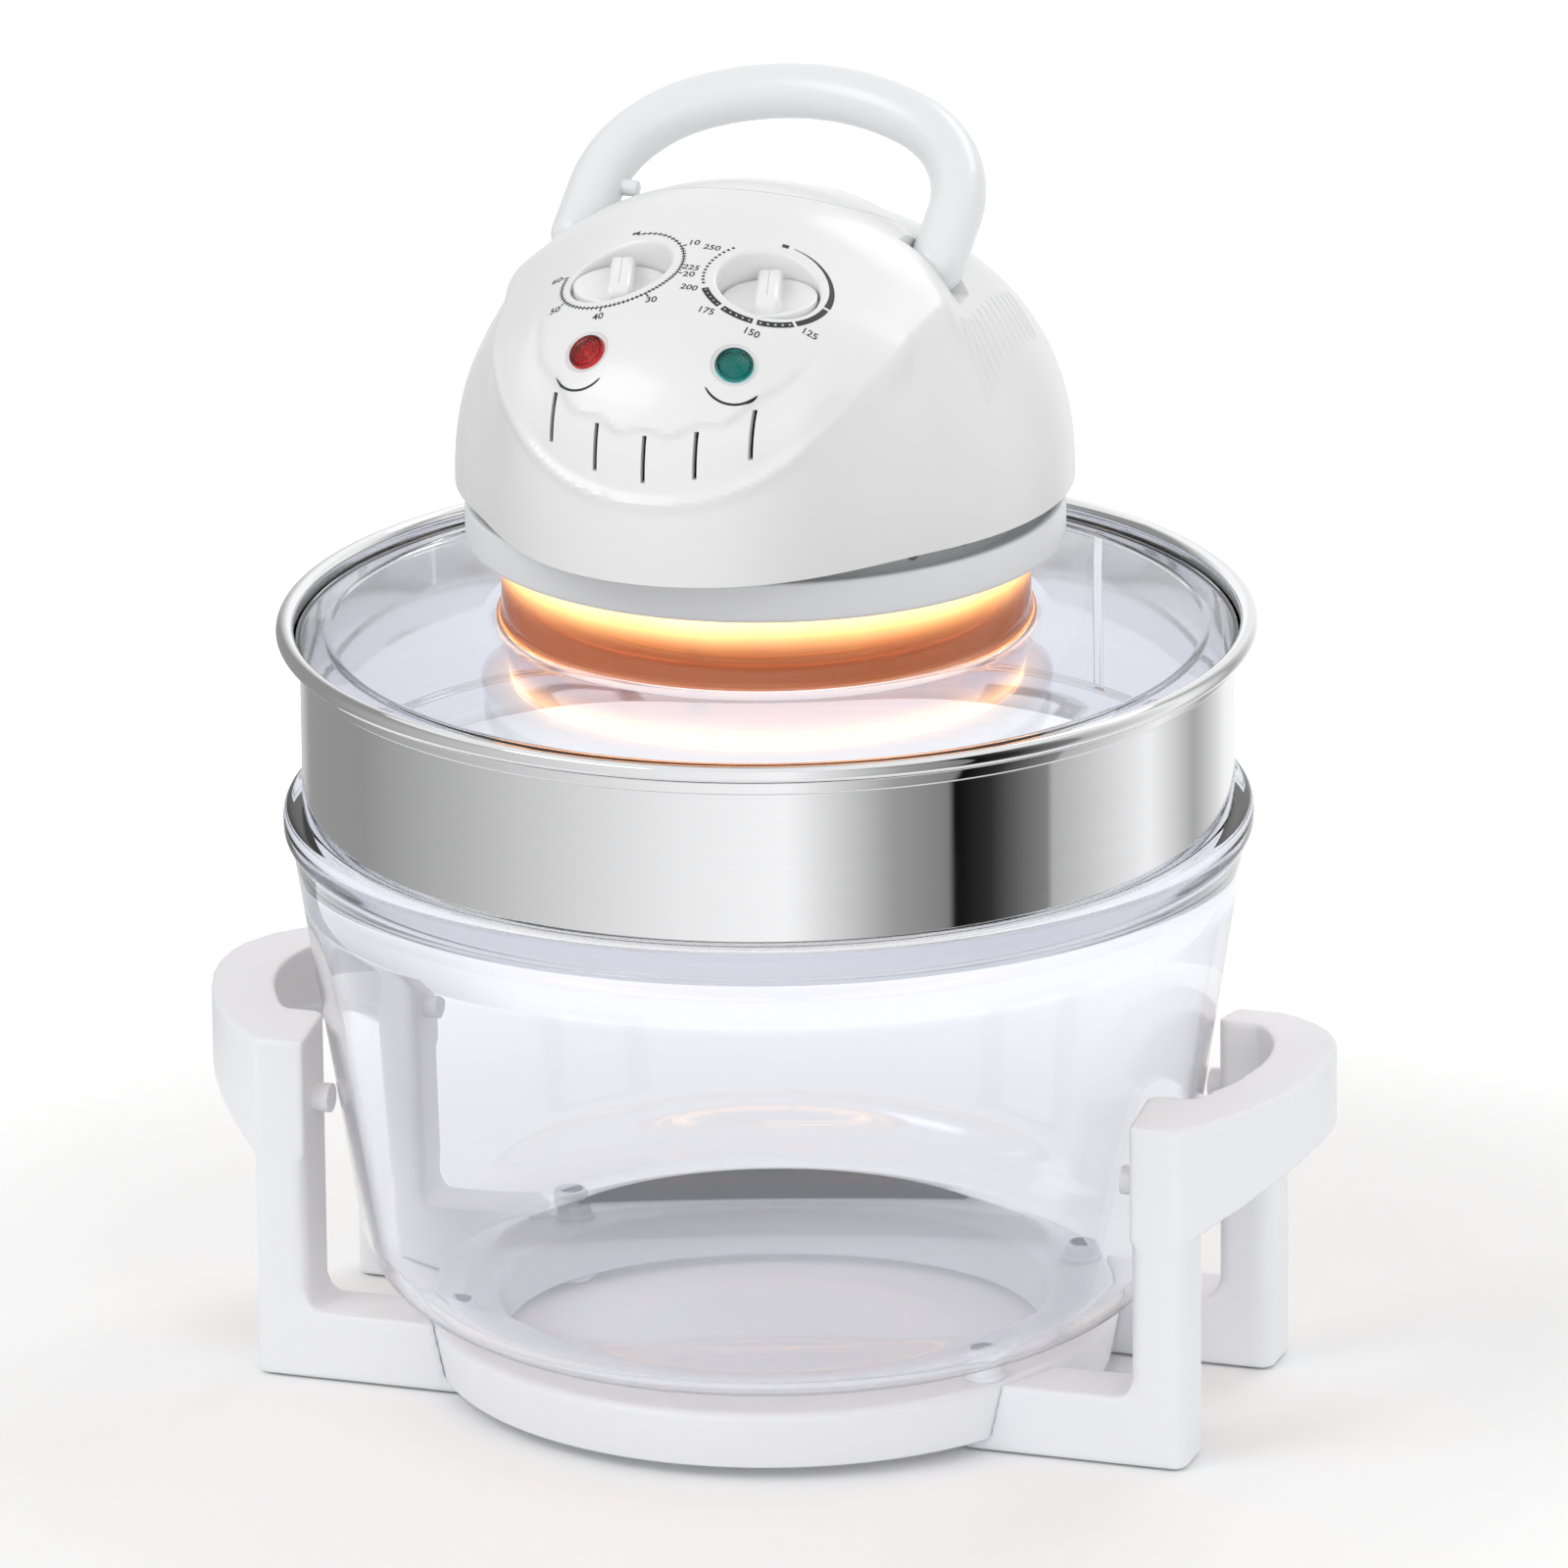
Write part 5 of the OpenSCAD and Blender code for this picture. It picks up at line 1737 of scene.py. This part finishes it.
@dataclass
class Dial:
    """Knob on the panel with the printed ring round it.

    Attributes:
        side: -1 for the timer on the left, 1 for the thermostat on the right.
        rest_turn: Angle of the knob at rest, against the clock.
    """

    side: int
    rest_turn: float
    form: HeadForm = field(default_factory=HeadForm)
    ring_r: float = 21.4
    knob_r: float = 16.0
    sink: float = 5.4
    disc_h: float = 3.0
    grip_h: float = 6.5

    def seat(self) -> tuple[Array, Array]:
        """Matrix and place of the dial's middle on the skin."""
        return self.form.seat(self.side * self.form.dial_x, -self.form.dial_y)

    def knob(self) -> Patch:
        """Shallow dish with a rounded bar across it, that spreads where it meets the dish.

        The disc is a turned profile. The bar's top is z = top - (y^2) / 80, with its
        ends and edges rounded by soft corners.

        Returns:
            The knob, upright, with the skin at height 0.
        """
        r, low, rim = self.knob_r, -self.sink - self.disc_h, -self.sink
        profile = soften(
            np.array([
                (0, low), (r - 0.4, low), (r, low + 0.4), (r, rim), (r - 1.4, rim),
                (r - 5.5, rim - 0.8), (0, rim - 0.8),
            ]), np.array([0, 0.3, 0.3, 0.7, 0.6, 2.0, 0]), 7,
        )
        disc = lathe(profile, 96)
        half_w, half_l, top = 4.25, r - 1.2, rim + self.grip_h
        plan = np.array([
            (half_w, -half_l), (half_w, half_l), (-half_w, half_l), (-half_w, -half_l)
        ])
        plan = soften(plan, np.full(4, 2.4), 10)
        levels = np.array([0, 0.12, 0.17, 0.24, 0.35, 0.6, 0.86, 0.95, 0.99, 1.0, 1.0])
        insets = np.array([-0.6, -0.6, -0.35, -0.1, 0.0, 0.15, 0.35, 0.7, 1.3, 2.1, 4.2])
        rows = []
        for level, inset in zip(levels, insets):
            shrink = 1 - inset / np.array([half_w, half_l])
            shrink = np.maximum(shrink, [0.0, 1 - insets[-1] / half_l])
            ring = plan * shrink
            height = low + 0.4 + (top - low - 0.4 - ring[:, 1] ** 2 / 80) * level
            rows.append(np.column_stack([ring, height]))
        bar = grid(np.array(rows))
        floor = np.arange(len(plan))
        return join(disc, Patch(bar.points, bar.faces + [floor[None, ::-1]]))

    def place_knob(self, name: str, body: Body, node: str) -> None:
        """Makes the knob and lets it ride on its dial's body.

        Args:
            name: The piece's name.
            body: The dial's body.
            node: The CAD node it stands for.
        """
        matrix, at = self.form.shaft(self.side * self.form.dial_x)
        patch = self.knob().moved(
            turned(math.radians(self.rest_turn)), (0, 0, 0)
        ).moved(matrix, at)
        place(mesh_object(name, patch, KNOB_WHITE, 45), body, "knob_plastic", node)

    def lay(self, flat: Array, lift: float = 0.07) -> Array:
        """Lays flat points of the dial's face on the skin, a little proud of it."""
        return lay_on_skin(self.form, self.seat(), flat, lift)

    def arc(
        self, start: float, end: float, inner: Array | float, outer: Array | float, count: int = 40
    ) -> Patch:
        """Printed band between two radii, from one clock angle to another.

        Args:
            start: Angle in degrees with the clock from the top of the dial.
            end: Where the band ends.
            inner: Inner radius, one or one for each place.
            outer: Outer radius.
            count: Places along the band.

        Returns:
            The band on the skin.
        """
        angle = np.radians(np.linspace(start, end, count))
        way = np.stack([np.sin(angle), np.cos(angle)], -1)
        inner, outer = np.broadcast_to(inner, (count,))[:, None], np.broadcast_to(
            outer, (count,)
        )[:, None]
        flat = np.stack([way * inner, way * (inner + outer) / 2, way * outer], 1)
        return grid(self.lay(flat), wrap_columns=False)

    def number(self, text: str, angle: float, radius: float, size: float, lean: float) -> Patch:
        """Printed number beside the ring.

        Args:
            text: The number.
            angle: Clock angle of its middle.
            radius: Distance of its middle from the dial's.
            size: Height of its digits.
            lean: Angle by which it is turned against the clock.

        Returns:
            The number's mesh on the skin.
        """
        flat, faces = digits(text, size)
        flat = flat @ turned(math.radians(lean))[:2, :2].T
        a = math.radians(angle)
        flat = flat + radius * np.array([math.sin(a), math.cos(a)])
        return Patch(self.lay(flat), faces)


def lay_on_skin(form: HeadForm, seat: tuple[Array, Array], flat: Array, lift: float) -> Array:
    """Lays flat points round a seat on the skin along the seat's normal.

    Args:
        form: The head's shape.
        seat: Matrix and place of the seat.
        flat: Points with two coordinates in the seat's plane.
        lift: How far they stand over the skin.

    Returns:
        The places of the points.
    """
    matrix, at = seat
    points = at + flat[..., :1] * matrix[:, 0] + flat[..., 1:] * matrix[:, 1]
    normal = np.broadcast_to(matrix[:, 2], points.shape)
    return form.slide(points, normal, 14.0) + normal * lift


def digits(text: str, size: float) -> tuple[Array, list[Array]]:
    """Flat mesh of a number, centred, with its height given.

    Args:
        text: The number.
        size: Height of its digits.

    Returns:
        Flat points and their triangles.
    """
    curve = bpy.data.curves.new("digits", "FONT")
    curve.body, curve.size, curve.resolution_u = text, size * 1.4, 3
    curve.align_x, curve.align_y, curve.offset = "CENTER", "CENTER", size * 0.018
    carrier = bpy.data.objects.new("digits", curve)
    bpy.context.scene.collection.objects.link(carrier)
    graph = bpy.context.evaluated_depsgraph_get()
    mesh = bpy.data.meshes.new_from_object(carrier.evaluated_get(graph))
    points = np.zeros(len(mesh.vertices) * 3)
    mesh.vertices.foreach_get("co", points)
    mesh.calc_loop_triangles()
    corners = np.zeros(len(mesh.loop_triangles) * 3, np.int32)
    mesh.loop_triangles.foreach_get("vertices", corners)
    bpy.data.objects.remove(carrier)
    return points.reshape(-1, 3)[:, :2], [corners.reshape(-1, 3)]


@dataclass
class Panel:
    """What is printed and mounted on the control panel."""

    form: HeadForm = field(default_factory=HeadForm)
    lamp_y: float = 107.1
    lamp_r: float = 6.3
    dome_r: float = 15.0
    dome_h: float = 1.5
    arc_r: float = 10.4
    arc_w: float = 0.84

    def timer_print(self, dial: Dial) -> Patch:
        """Thin ring of the timer with a tick for each minute and a number for each ten.

        Args:
            dial: The timer's dial.

        Returns:
            The print.
        """
        r = dial.ring_r
        turn = np.interp(np.arange(61), np.arange(0, 61, 10), [2, 60, 104, 143, 185, 233, 281])
        parts = [dial.arc(2, 282, r - 0.2, r + 0.2, 150)]
        for i, angle in enumerate(turn):
            inner, outer = (r - 0.6, r + 2.0) if i % 10 == 0 else (r - 0.75, r + 0.75)
            parts.append(dial.arc(angle - 0.75, angle + 0.75, inner, outer, 3))
        for k, text in enumerate(("10", "20", "30", "40", "50", "60")):
            parts.append(dial.number(text, turn[10 * k + 10], r + 4.4, 2.9, 0))
        parts.append(dial.arc(-4, 2, r + 0.4, r + 1.6, 6))
        return join(*parts)

    def thermostat_print(self, dial: Dial) -> Patch:
        """Ring of the thermostat, which thickens in steps with the heat.

        Args:
            dial: The thermostat's dial.

        Returns:
            The print.
        """
        r = dial.ring_r
        swell = np.linspace(0.12, 1.15, 60)
        parts = [dial.arc(2, 91, r - swell, r + swell, 60), dial.arc(-9, -3, r - 0.9, r + 0.9, 8),
                 dial.arc(94, 132, r - 1.05, r + 1.05, 24)]
        for start, end in ((135, 168), (172, 203), (207, 235)):
            parts.append(dial.arc(start, end, r + 0.3, r + 1.15, 24))
            parts.append(dial.arc(start, end, r - 1.15, r - 0.3, 24))
            for angle in np.linspace(start, end, 6):
                low, high = max(angle - 2.2, start), min(angle + 2.2, end)
                parts.append(dial.arc(low, high, r - 0.35, r + 0.35, 4))
        for angle in np.arange(243, 307, 5.25):
            parts.append(dial.arc(angle - 1.3, angle + 1.3, r - 0.5, r + 0.5, 4))
        for angle, text in (
            (126, "125"), (170, "150"), (209, "175"), (239, "200"), (265, "225"), (294, "250")
        ):
            parts.append(dial.number(text, angle, r + 4.9, 2.8, 0))
        return join(*parts)

    def lamp(self, side: int, name: str, finish: Finish, slot: str, node: str) -> None:
        """Domed lens with turned grooves in its face, and the printed arc under it.

        Args:
            side: -1 for the lamp on the left, 1 for the right.
            name: The lens's name.
            finish: Its glass.
            slot: Its material slot.
            node: The CAD node it stands for.
        """
        seat = self.form.seat(side * self.form.dial_x, -self.lamp_y)
        r = self.lamp_r
        radius = np.linspace(r - 1.3, 0, 60)
        dome = self.dome_h - self.dome_r + np.sqrt(self.dome_r**2 - radius**2)
        groove = 0.16 * np.cos(radius * TURN / 1.15) * (radius > 0.6)
        face = np.column_stack([radius, dome + groove])
        corners = np.array([(0, -3), (r, -3), (r, 0.35), (r - 0.7, 0.75), (r - 1.2, 0.3)])
        edge = soften(corners, np.array([0, 0.2, 0.5, 0.5, 0]), 6, closed=False)
        lens = mesh_object(name, lathe(np.vstack([edge, face]), 72).moved(*seat), finish, 60)
        place(lens, Body.LID, slot, node)
        angle = np.radians(np.linspace(-16, -130, 40))
        way = np.stack([side * np.cos(angle), np.sin(angle)], -1)
        width = self.arc_w / 2 * np.sqrt(
            np.clip(1 - np.linspace(-1, 1, 40) ** 6, 0.02, 1)
        )[:, None]
        r = self.arc_r
        flat = np.stack([way * (r - width), way * r, way * (r + width)], 1)
        flat = flat + np.array([side * 1.7, -3.4])
        points = lay_on_skin(self.form, seat, flat, 0.07)
        arc = mesh_object(name + "_arc", grid(points, wrap_columns=False), PRINT, mend=False)
        place(arc, Body.LID, "unit_plastic")

    def build(self) -> None:
        """Makes the knobs, the prints and the lamps."""
        timer, thermostat = Dial(-1, 15.0, self.form), Dial(1, 15.0, self.form)
        timer.place_knob("timer_grip", Body.TIMER, "timer_knob")
        thermostat.place_knob("thermostat_grip", Body.THERMOSTAT, "thermostat_knob")
        for name, patch in (
            ("timer_scale", self.timer_print(timer)),
            ("thermostat_scale", self.thermostat_print(thermostat)),
        ):
            place(mesh_object(name, patch, PRINT, mend=False), Body.LID, "unit_plastic")
        self.lamp(-1, "power_lens", RED, "red_lens", "power_lamp_lens")
        self.lamp(1, "heat_lens", TEAL, "teal_lens", "heat_lamp_lens")
        dress_nodes(UNIT, "timer_unit", "thermostat_unit", "micro_switch")
        dress_nodes(ZINC, "timer_shaft", "thermostat_shaft")
        dress_nodes(CERAMIC, "lamp_holders")
        dress_nodes(PLUNGER, "switch_plunger")


# Handle


@dataclass
class Handle:
    """Round carrying handle that lies back over the head."""

    tube_r: float = 9.4
    half: float = 62.7
    reach: float = 72.6
    leg_up: float = 21.6
    corner_r: float = 47.277
    arch_a: float = 15.423
    top_r: float = 81.084
    turn_a: float = 62.858
    pivot_y: float = -6.0
    pivot_z: float = 396.7
    rest: float = 30.7
    lug_up: float = 22.5
    lug_r: float = 2.8

    def path(self) -> Array:
        """Axis of the tube: a leg, a corner arc, the top arc, and the same mirrored.

        Returns:
            Places in the handle's own plane.
        """
        leg = np.stack([np.full(14, self.half), np.linspace(0, self.leg_up, 15)[:-1]], -1)
        a = np.radians(np.linspace(0, self.turn_a, 28))[:-1]
        corner = np.stack(
            [self.arch_a + self.corner_r * np.cos(a), self.leg_up + self.corner_r * np.sin(a)], -1
        )
        b = np.radians(np.linspace(self.turn_a, 90, 18))
        top = np.stack(
            [self.top_r * np.cos(b), self.reach - self.top_r + self.top_r * np.sin(b)], -1
        )
        right = np.vstack([leg, corner, top])
        return np.vstack([right, right[-2::-1] * [-1, 1]])

    def tube(self) -> Patch:
        """Tube with a round end under each pivot.

        Within one radius of an end the tube's radius is R sqrt(1 - d^2), where d runs
        from 0 at the pivot to 1 at the tip.

        Returns:
            The tube, upright.
        """
        flat = self.path()
        d = np.sin(np.linspace(math.pi / 2, 0, 12))[:-1]
        cap = np.stack([np.full(11, self.half), -self.tube_r * d], -1)
        flat = np.vstack([cap, flat, cap[::-1] * [-1, 1]])
        radius = np.full(len(flat), self.tube_r)
        radius[:11] = self.tube_r * np.sqrt(1 - d * d)
        radius[-11:] = radius[:11][::-1]
        path = np.stack([flat[:, 0], 0 * flat[:, 0], flat[:, 1]], -1)
        return sweep(path, np.array([0, 1.0, 0]), radius, 48)

    def build(self) -> None:
        """Makes the handle in its lowered place."""
        lug = soften(
            np.array([
                (0, 0), (self.lug_r, 0), (self.lug_r, self.tube_r + 5.5), (0, self.tube_r + 5.5)
            ]), np.array([0, 0.3, 1.2, 0]), 6,
        )
        across = np.array([[0, 0, 1.0], [0, 1.0, 0], [-1.0, 0, 0]])
        lug_patch = lathe(lug, 40).moved(across, (0, 0, 0)).moved(
            np.eye(3), (-self.half, 0, self.lug_up)
        )
        matrix = np.array(Euler((math.radians(self.rest - 90), 0, 0)).to_matrix())
        patch = join(self.tube(), lug_patch).moved(matrix, (0, self.pivot_y, self.pivot_z))
        place(
            mesh_object("carrying_handle", patch, HANDLE_WHITE, 60), Body.HANDLE, "white_plastic",
            "handle",
        )
        dress_nodes(ZINC, "handle_pins")


# Heater, fans and motor


@dataclass
class HeatingBay:
    """Heater tube, wire guard and what else shows through the glass of the neck."""

    heater_r: float = 66.0
    heater_z: float = 288.0
    quartz_r: float = 5.0
    gap_angle: float = 12.0
    guard_r: float = 78.7
    guard_z: float = 274.5
    wire_r: float = 0.75
    edge_wire_r: float = 1.2
    inner_ring_r: float = 11.4
    rings: int = 7
    spokes: int = 4

    def heater(self) -> None:
        """Quartz tube bent to an open ring, with drawn-in ends."""
        count = 200
        turn = np.radians(np.linspace(90 + self.gap_angle, 450 - self.gap_angle, count))
        path = np.stack(
            [self.heater_r * np.cos(turn), self.heater_r * np.sin(turn), 0 * turn + self.heater_z],
            -1,
        )
        end = np.minimum(np.arange(count), np.arange(count)[::-1]) / 4
        radius = self.quartz_r * np.sqrt(np.clip(1 - (1 - np.clip(end, 0, 1)) ** 2, 0, 1))
        place(mesh_object("quartz_ring", sweep(path, np.array([0, 0, 1.0]), radius, 24), HOT, 80),
              Body.LID, "quartz", "heater_tube")

    def guard(self) -> None:
        """Wire guard of rings and crossing spokes."""
        turn = np.linspace(0, TURN, 96, endpoint=False)
        circle = np.stack([np.cos(turn), np.sin(turn), 0 * turn], -1)
        up = np.array([0, 0, 1.0])
        parts = []
        for r in np.linspace(self.inner_ring_r, self.guard_r, self.rings):
            wire = self.wire_r if r < self.guard_r else self.edge_wire_r
            parts.append(sweep(circle * r + [0, 0, self.guard_z], up, wire, 10, closed=True))
        line = np.linspace(-1, 1, 24)
        radius = self.wire_r * np.sqrt(np.clip(1 - line**12, 0, 1))
        for k in range(self.spokes):
            way = np.array([
                math.cos(k * math.pi / self.spokes), math.sin(k * math.pi / self.spokes), 0
            ])
            spoke = line[:, None] * way * self.guard_r + [0, 0, self.guard_z + (k - 1.5) * 0.05]
            parts.append(sweep(spoke, up, radius, 10))
        place(
            mesh_object("wire_guard", join(*parts), CHROME, 60), Body.LID, "plated_steel",
            "fan_guard",
        )

    def build(self) -> None:
        """Makes the heater and guard, and dresses the rest of the drive."""
        self.heater()
        self.guard()
        dress_nodes(MIRROR, "reflector_pan")
        dress_nodes(MICA, "heat_shield")
        dress_nodes(CERAMIC, "heater_end_caps", "terminal_block")
        dress_nodes(
            ZINC, "motor_deck", "deck_pillars", "heater_clips", "guard_posts",
            "lower_bearing_bracket", "upper_bearing_bracket", "motor_screws", "motor_shaft",
            "thermostat_bulb", "housing_screws",
        )
        dress_nodes(LAMINATED, "motor_stator", "motor_rotor")
        dress_nodes(COPPER, "motor_coil")
        dress_nodes(FAN, "cooling_fan")
        dress_nodes(ALLOY, "convection_fan")
        dress_nodes(GLAND, "cord_gland")


# Studio


@dataclass
class Studio:
    """Pale floor, soft lamps and the camera, in metres.

    Attributes:
        azimuth: Degrees of the camera to the right of the front.
        elevation: Its angle over the level.
        roll: Its turn about its own axis.
        distance: Its distance from the aim.
        aim: What it looks at.
        lens: Its focal length in millimetres.
        shift: Its shift, as a share.
        screen: Radius of the round screen.
        screen_h: Height of the screen.
        screen_light: Strength of its tones.
        bounce: Tone for a ray mirrored inside the glass.
        shade_reach: Distances between which the floor brightens.
        floor_light: Strength of its white at both.
        world_light: Strength of the world's light on the oven.
    """

    azimuth: float = 18.5
    elevation: float = 18.88
    roll: float = -0.6
    distance: float = 5.947
    aim: tuple[float, float, float] = (0.0, 0.0, 0.18)
    lens: float = 405.4
    shift: tuple[float, float] = (0.0094, 0.0488)
    screen: float = 0.42
    screen_h: float = 0.62
    screen_light: float = 1.14
    bounce: tuple[float, float, float] = (0.86, 0.87, 0.92)
    shade_reach: tuple[float, float] = (0.24, 0.75)
    floor_light: tuple[float, float] = (0.03, 0.6)
    world_light: float = 0.72

    MIRRORED: ClassVar = (
        (-150, 1.0), (-120, 0.3), (-85, 0.3), (-50, 0.5), (0, 0.9), (22, 1.0), (44, 0.35),
        (56.8, 0.22), (57, 0.0), (66, 0.03), (80.8, 0.25), (81, 0.45), (112, 0.95), (132, 0.4),
        (155, 0.9),
    )
    THROUGH: ClassVar = (
        (-150, 1.0), (-134, 0.15), (-110, 0.0), (-70, 0.02), (-44, 0.6), (-20, 1.0), (34, 1.0),
        (58, 0.5), (80, 0.0), (120, 0.0), (144, 0.3), (160, 1.0),
    )

    def camera(self) -> None:
        """Sets the camera at the photograph's viewing angle."""
        data = bpy.data.cameras.new("camera")
        data.lens, data.sensor_width = self.lens, 36.0
        data.shift_x, data.shift_y = self.shift
        data.clip_end = 50.0
        camera = bpy.data.objects.new("camera", data)
        bpy.context.scene.collection.objects.link(camera)
        a, e = math.radians(self.azimuth), math.radians(self.elevation)
        back = Vector((math.sin(a) * math.cos(e), -math.cos(a) * math.cos(e), math.sin(e)))
        camera.location = Vector(self.aim) + back * self.distance
        turn = back.to_track_quat("Z", "Y").to_euler()
        camera.rotation_euler = turn
        camera.rotation_euler.rotate_axis("Z", math.radians(self.roll))
        bpy.context.scene.camera = camera

    def floor(self) -> None:
        """Pale floor that keeps the shadow and looks white to the camera."""
        size = 6.0
        mesh = bpy.data.meshes.new("floor")
        mesh.from_pydata(
            [(-size, -size, 0), (size, -size, 0), (size, size, 0), (-size, size, 0)], [],
            [(0, 1, 2, 3)],
        )
        obj = bpy.data.objects.new("floor", mesh)
        bpy.context.scene.collection.objects.link(obj)
        made = bpy.data.materials.new("floor_paper")
        made.use_nodes = True
        tree = made.node_tree
        shader = tree.nodes["Principled BSDF"]
        shader.inputs["Base Color"].default_value = (0.9, 0.9, 0.9, 1)
        shader.inputs["Roughness"].default_value = 0.9
        shader.inputs["Emission Color"].default_value = (1, 1, 1, 1)
        light = add_node(tree, "ShaderNodeLightPath")
        seen = math_node(
            tree, "MAXIMUM", light.outputs["Is Camera Ray"], light.outputs["Is Transmission Ray"]
        )
        seen = math_node(tree, "MAXIMUM", seen, light.outputs["Is Glossy Ray"])
        where = add_node(tree, "ShaderNodeTexCoord").outputs["Object"]
        away = add_node(
            tree, "ShaderNodeVectorMath", {"operation": "LENGTH"}, {0: where}
        ).outputs["Value"]
        (near, far), (dim, bright) = self.shade_reach, self.floor_light
        white = add_node(
            tree, "ShaderNodeMapRange", {"interpolation_type": "SMOOTHSTEP"},
            {"Value": away, "From Min": near, "From Max": far, "To Min": dim, "To Max": bright},
        ).outputs[0]
        tree.links.new(
            math_node(tree, "MULTIPLY", seen, white), shader.inputs["Emission Strength"]
        )
        mesh.materials.append(made)

    def lamp(
        self, name: str, where: tuple[float, float, float], size: float, power: float
    ) -> None:
        """Soft square lamp that faces the oven.

        Args:
            name: The lamp's name.
            where: Its place in metres.
            size: Length of its side.
            power: Its power in watts.
        """
        data = bpy.data.lights.new(name, "AREA")
        data.size, data.energy = size, power
        lamp = bpy.data.objects.new(name, data)
        bpy.context.scene.collection.objects.link(lamp)
        lamp.location = where
        way = Vector(self.aim) + Vector((0, 0, 0.08)) - Vector(where)
        lamp.rotation_euler = way.to_track_quat("-Z", "Y").to_euler()

    def surround(self) -> None:
        """Low round screen whose tones only polished surfaces and glass edges show.

        Its tone depends on the angle round the oven. What is mirrored takes one row
        of tones, with a black strip on the right, and what is seen through glass
        takes another, which is dark at both sides and white behind.
        """
        turn = np.linspace(0, TURN, 241)
        low = self.screen * np.column_stack([np.sin(turn), -np.cos(turn), 0 * turn])
        points = np.stack([low, low + [0, 0, self.screen_h]]) / MM
        obj = mesh_object("surround", grid(points, wrap_columns=False), mend=False)
        made = bpy.data.materials.new("surround_paper")
        made.use_nodes = True
        tree = made.node_tree
        shader = tree.nodes["Principled BSDF"]
        shader.inputs["Base Color"].default_value = (0, 0, 0, 1)
        shader.inputs["Specular IOR Level"].default_value = 0.0
        where = add_node(tree, "ShaderNodeTexCoord").outputs["Object"]
        parts = add_node(tree, "ShaderNodeSeparateXYZ", None, {0: where})
        back = math_node(tree, "MULTIPLY", parts.outputs[1], -1.0)
        angle = math_node(tree, "ARCTAN2", parts.outputs[0], back)
        share = add_node(
            tree, "ShaderNodeMapRange", None,
            {"Value": angle, "From Min": -math.pi, "From Max": math.pi},
        ).outputs[0]
        mirrored = self.tones(tree, share, self.MIRRORED, 0.0)
        through = self.tones(tree, share, self.THROUGH, 0.05)
        light = add_node(tree, "ShaderNodeLightPath")
        glass = light.outputs["Is Transmission Ray"]
        tone = add_node(
            tree, "ShaderNodeMix", {"data_type": "RGBA"},
            {"Factor": glass, "A": mirrored, "B": through},
        )
        bounced = math_node(
            tree, "MULTIPLY", glass,
            math_node(tree, "GREATER_THAN", light.outputs["Glossy Depth"], 0.5),
        )
        tone = blend_colours(tree, bounced, tone.outputs["Result"], rgba(self.bounce))
        tree.links.new(tone, shader.inputs["Emission Color"])
        shader.inputs["Emission Strength"].default_value = self.screen_light
        obj.data.materials.append(made)
        obj.visible_camera = obj.visible_diffuse = obj.visible_shadow = False

    @staticmethod
    def tones(
        tree: Tree, share: Socket, stops: tuple[tuple[float, float], ...], blue: float
    ) -> Socket:
        """Tone by the angle in degrees to the right of the front, with dark ends turned blue.

        Args:
            tree: The material's node tree.
            share: Angle as a share of the full turn, from the back.
            stops: Angles with the tone at each.
            blue: How blue the dark tones are.

        Returns:
            The tone.
        """
        ramp = add_node(tree, "ShaderNodeValToRGB", None, {0: share})
        elements = ramp.color_ramp.elements
        elements[0].position, elements[1].position = 0.0, 1.0
        for angle, level in stops:
            element = elements.new((angle + 180) / 360)
            dark = 1 - level
            element.color = (
                level + 0.3 * blue * dark, level + 0.5 * blue * dark, level + blue * dark, 1.0
            )
        for element, level in ((elements[0], stops[0][1]), (elements[-1], stops[-1][1])):
            element.color = (level, level, level, 1.0)
        return ramp.outputs["Color"]

    def world(self) -> None:
        """White behind the oven, and a weaker even light on it."""
        world = bpy.data.worlds.new("studio")
        world.use_nodes = True
        bpy.context.scene.world = world
        tree = world.node_tree
        light = add_node(tree, "ShaderNodeLightPath")
        seen = math_node(
            tree, "MAXIMUM", light.outputs["Is Camera Ray"], light.outputs["Is Transmission Ray"]
        )
        seen = math_node(tree, "MAXIMUM", seen, light.outputs["Is Glossy Ray"])
        background = tree.nodes["Background"]
        background.inputs["Color"].default_value = (1, 1, 1, 1)
        tree.links.new(spread(tree, seen, self.world_light, 1.0), background.inputs["Strength"])

    def build(self) -> None:
        """Sets up the studio."""
        self.camera()
        self.floor()
        self.world()
        self.lamp("key", (-1.3, -1.5, 2.0), 1.4, 18)
        self.lamp("fill", (1.8, -1.6, 1.2), 1.6, 10)
        self.lamp("rim", (0.6, 1.8, 1.6), 1.2, 10)
        self.surround()
        bpy.context.scene.view_settings.view_transform = "Standard"


def main() -> None:
    """Builds the oven and its studio."""
    logging.basicConfig(level=logging.INFO, format="%(name)s: %(message)s")
    form = HeadForm()
    parts = (Stand(), Bowl(), ExtenderRing(), Lid(), HeadShell(form), Panel(form))
    for part in (*parts, Handle(), HeatingBay(), Studio()):
        part.build()


if __name__ == "__main__":
    main()
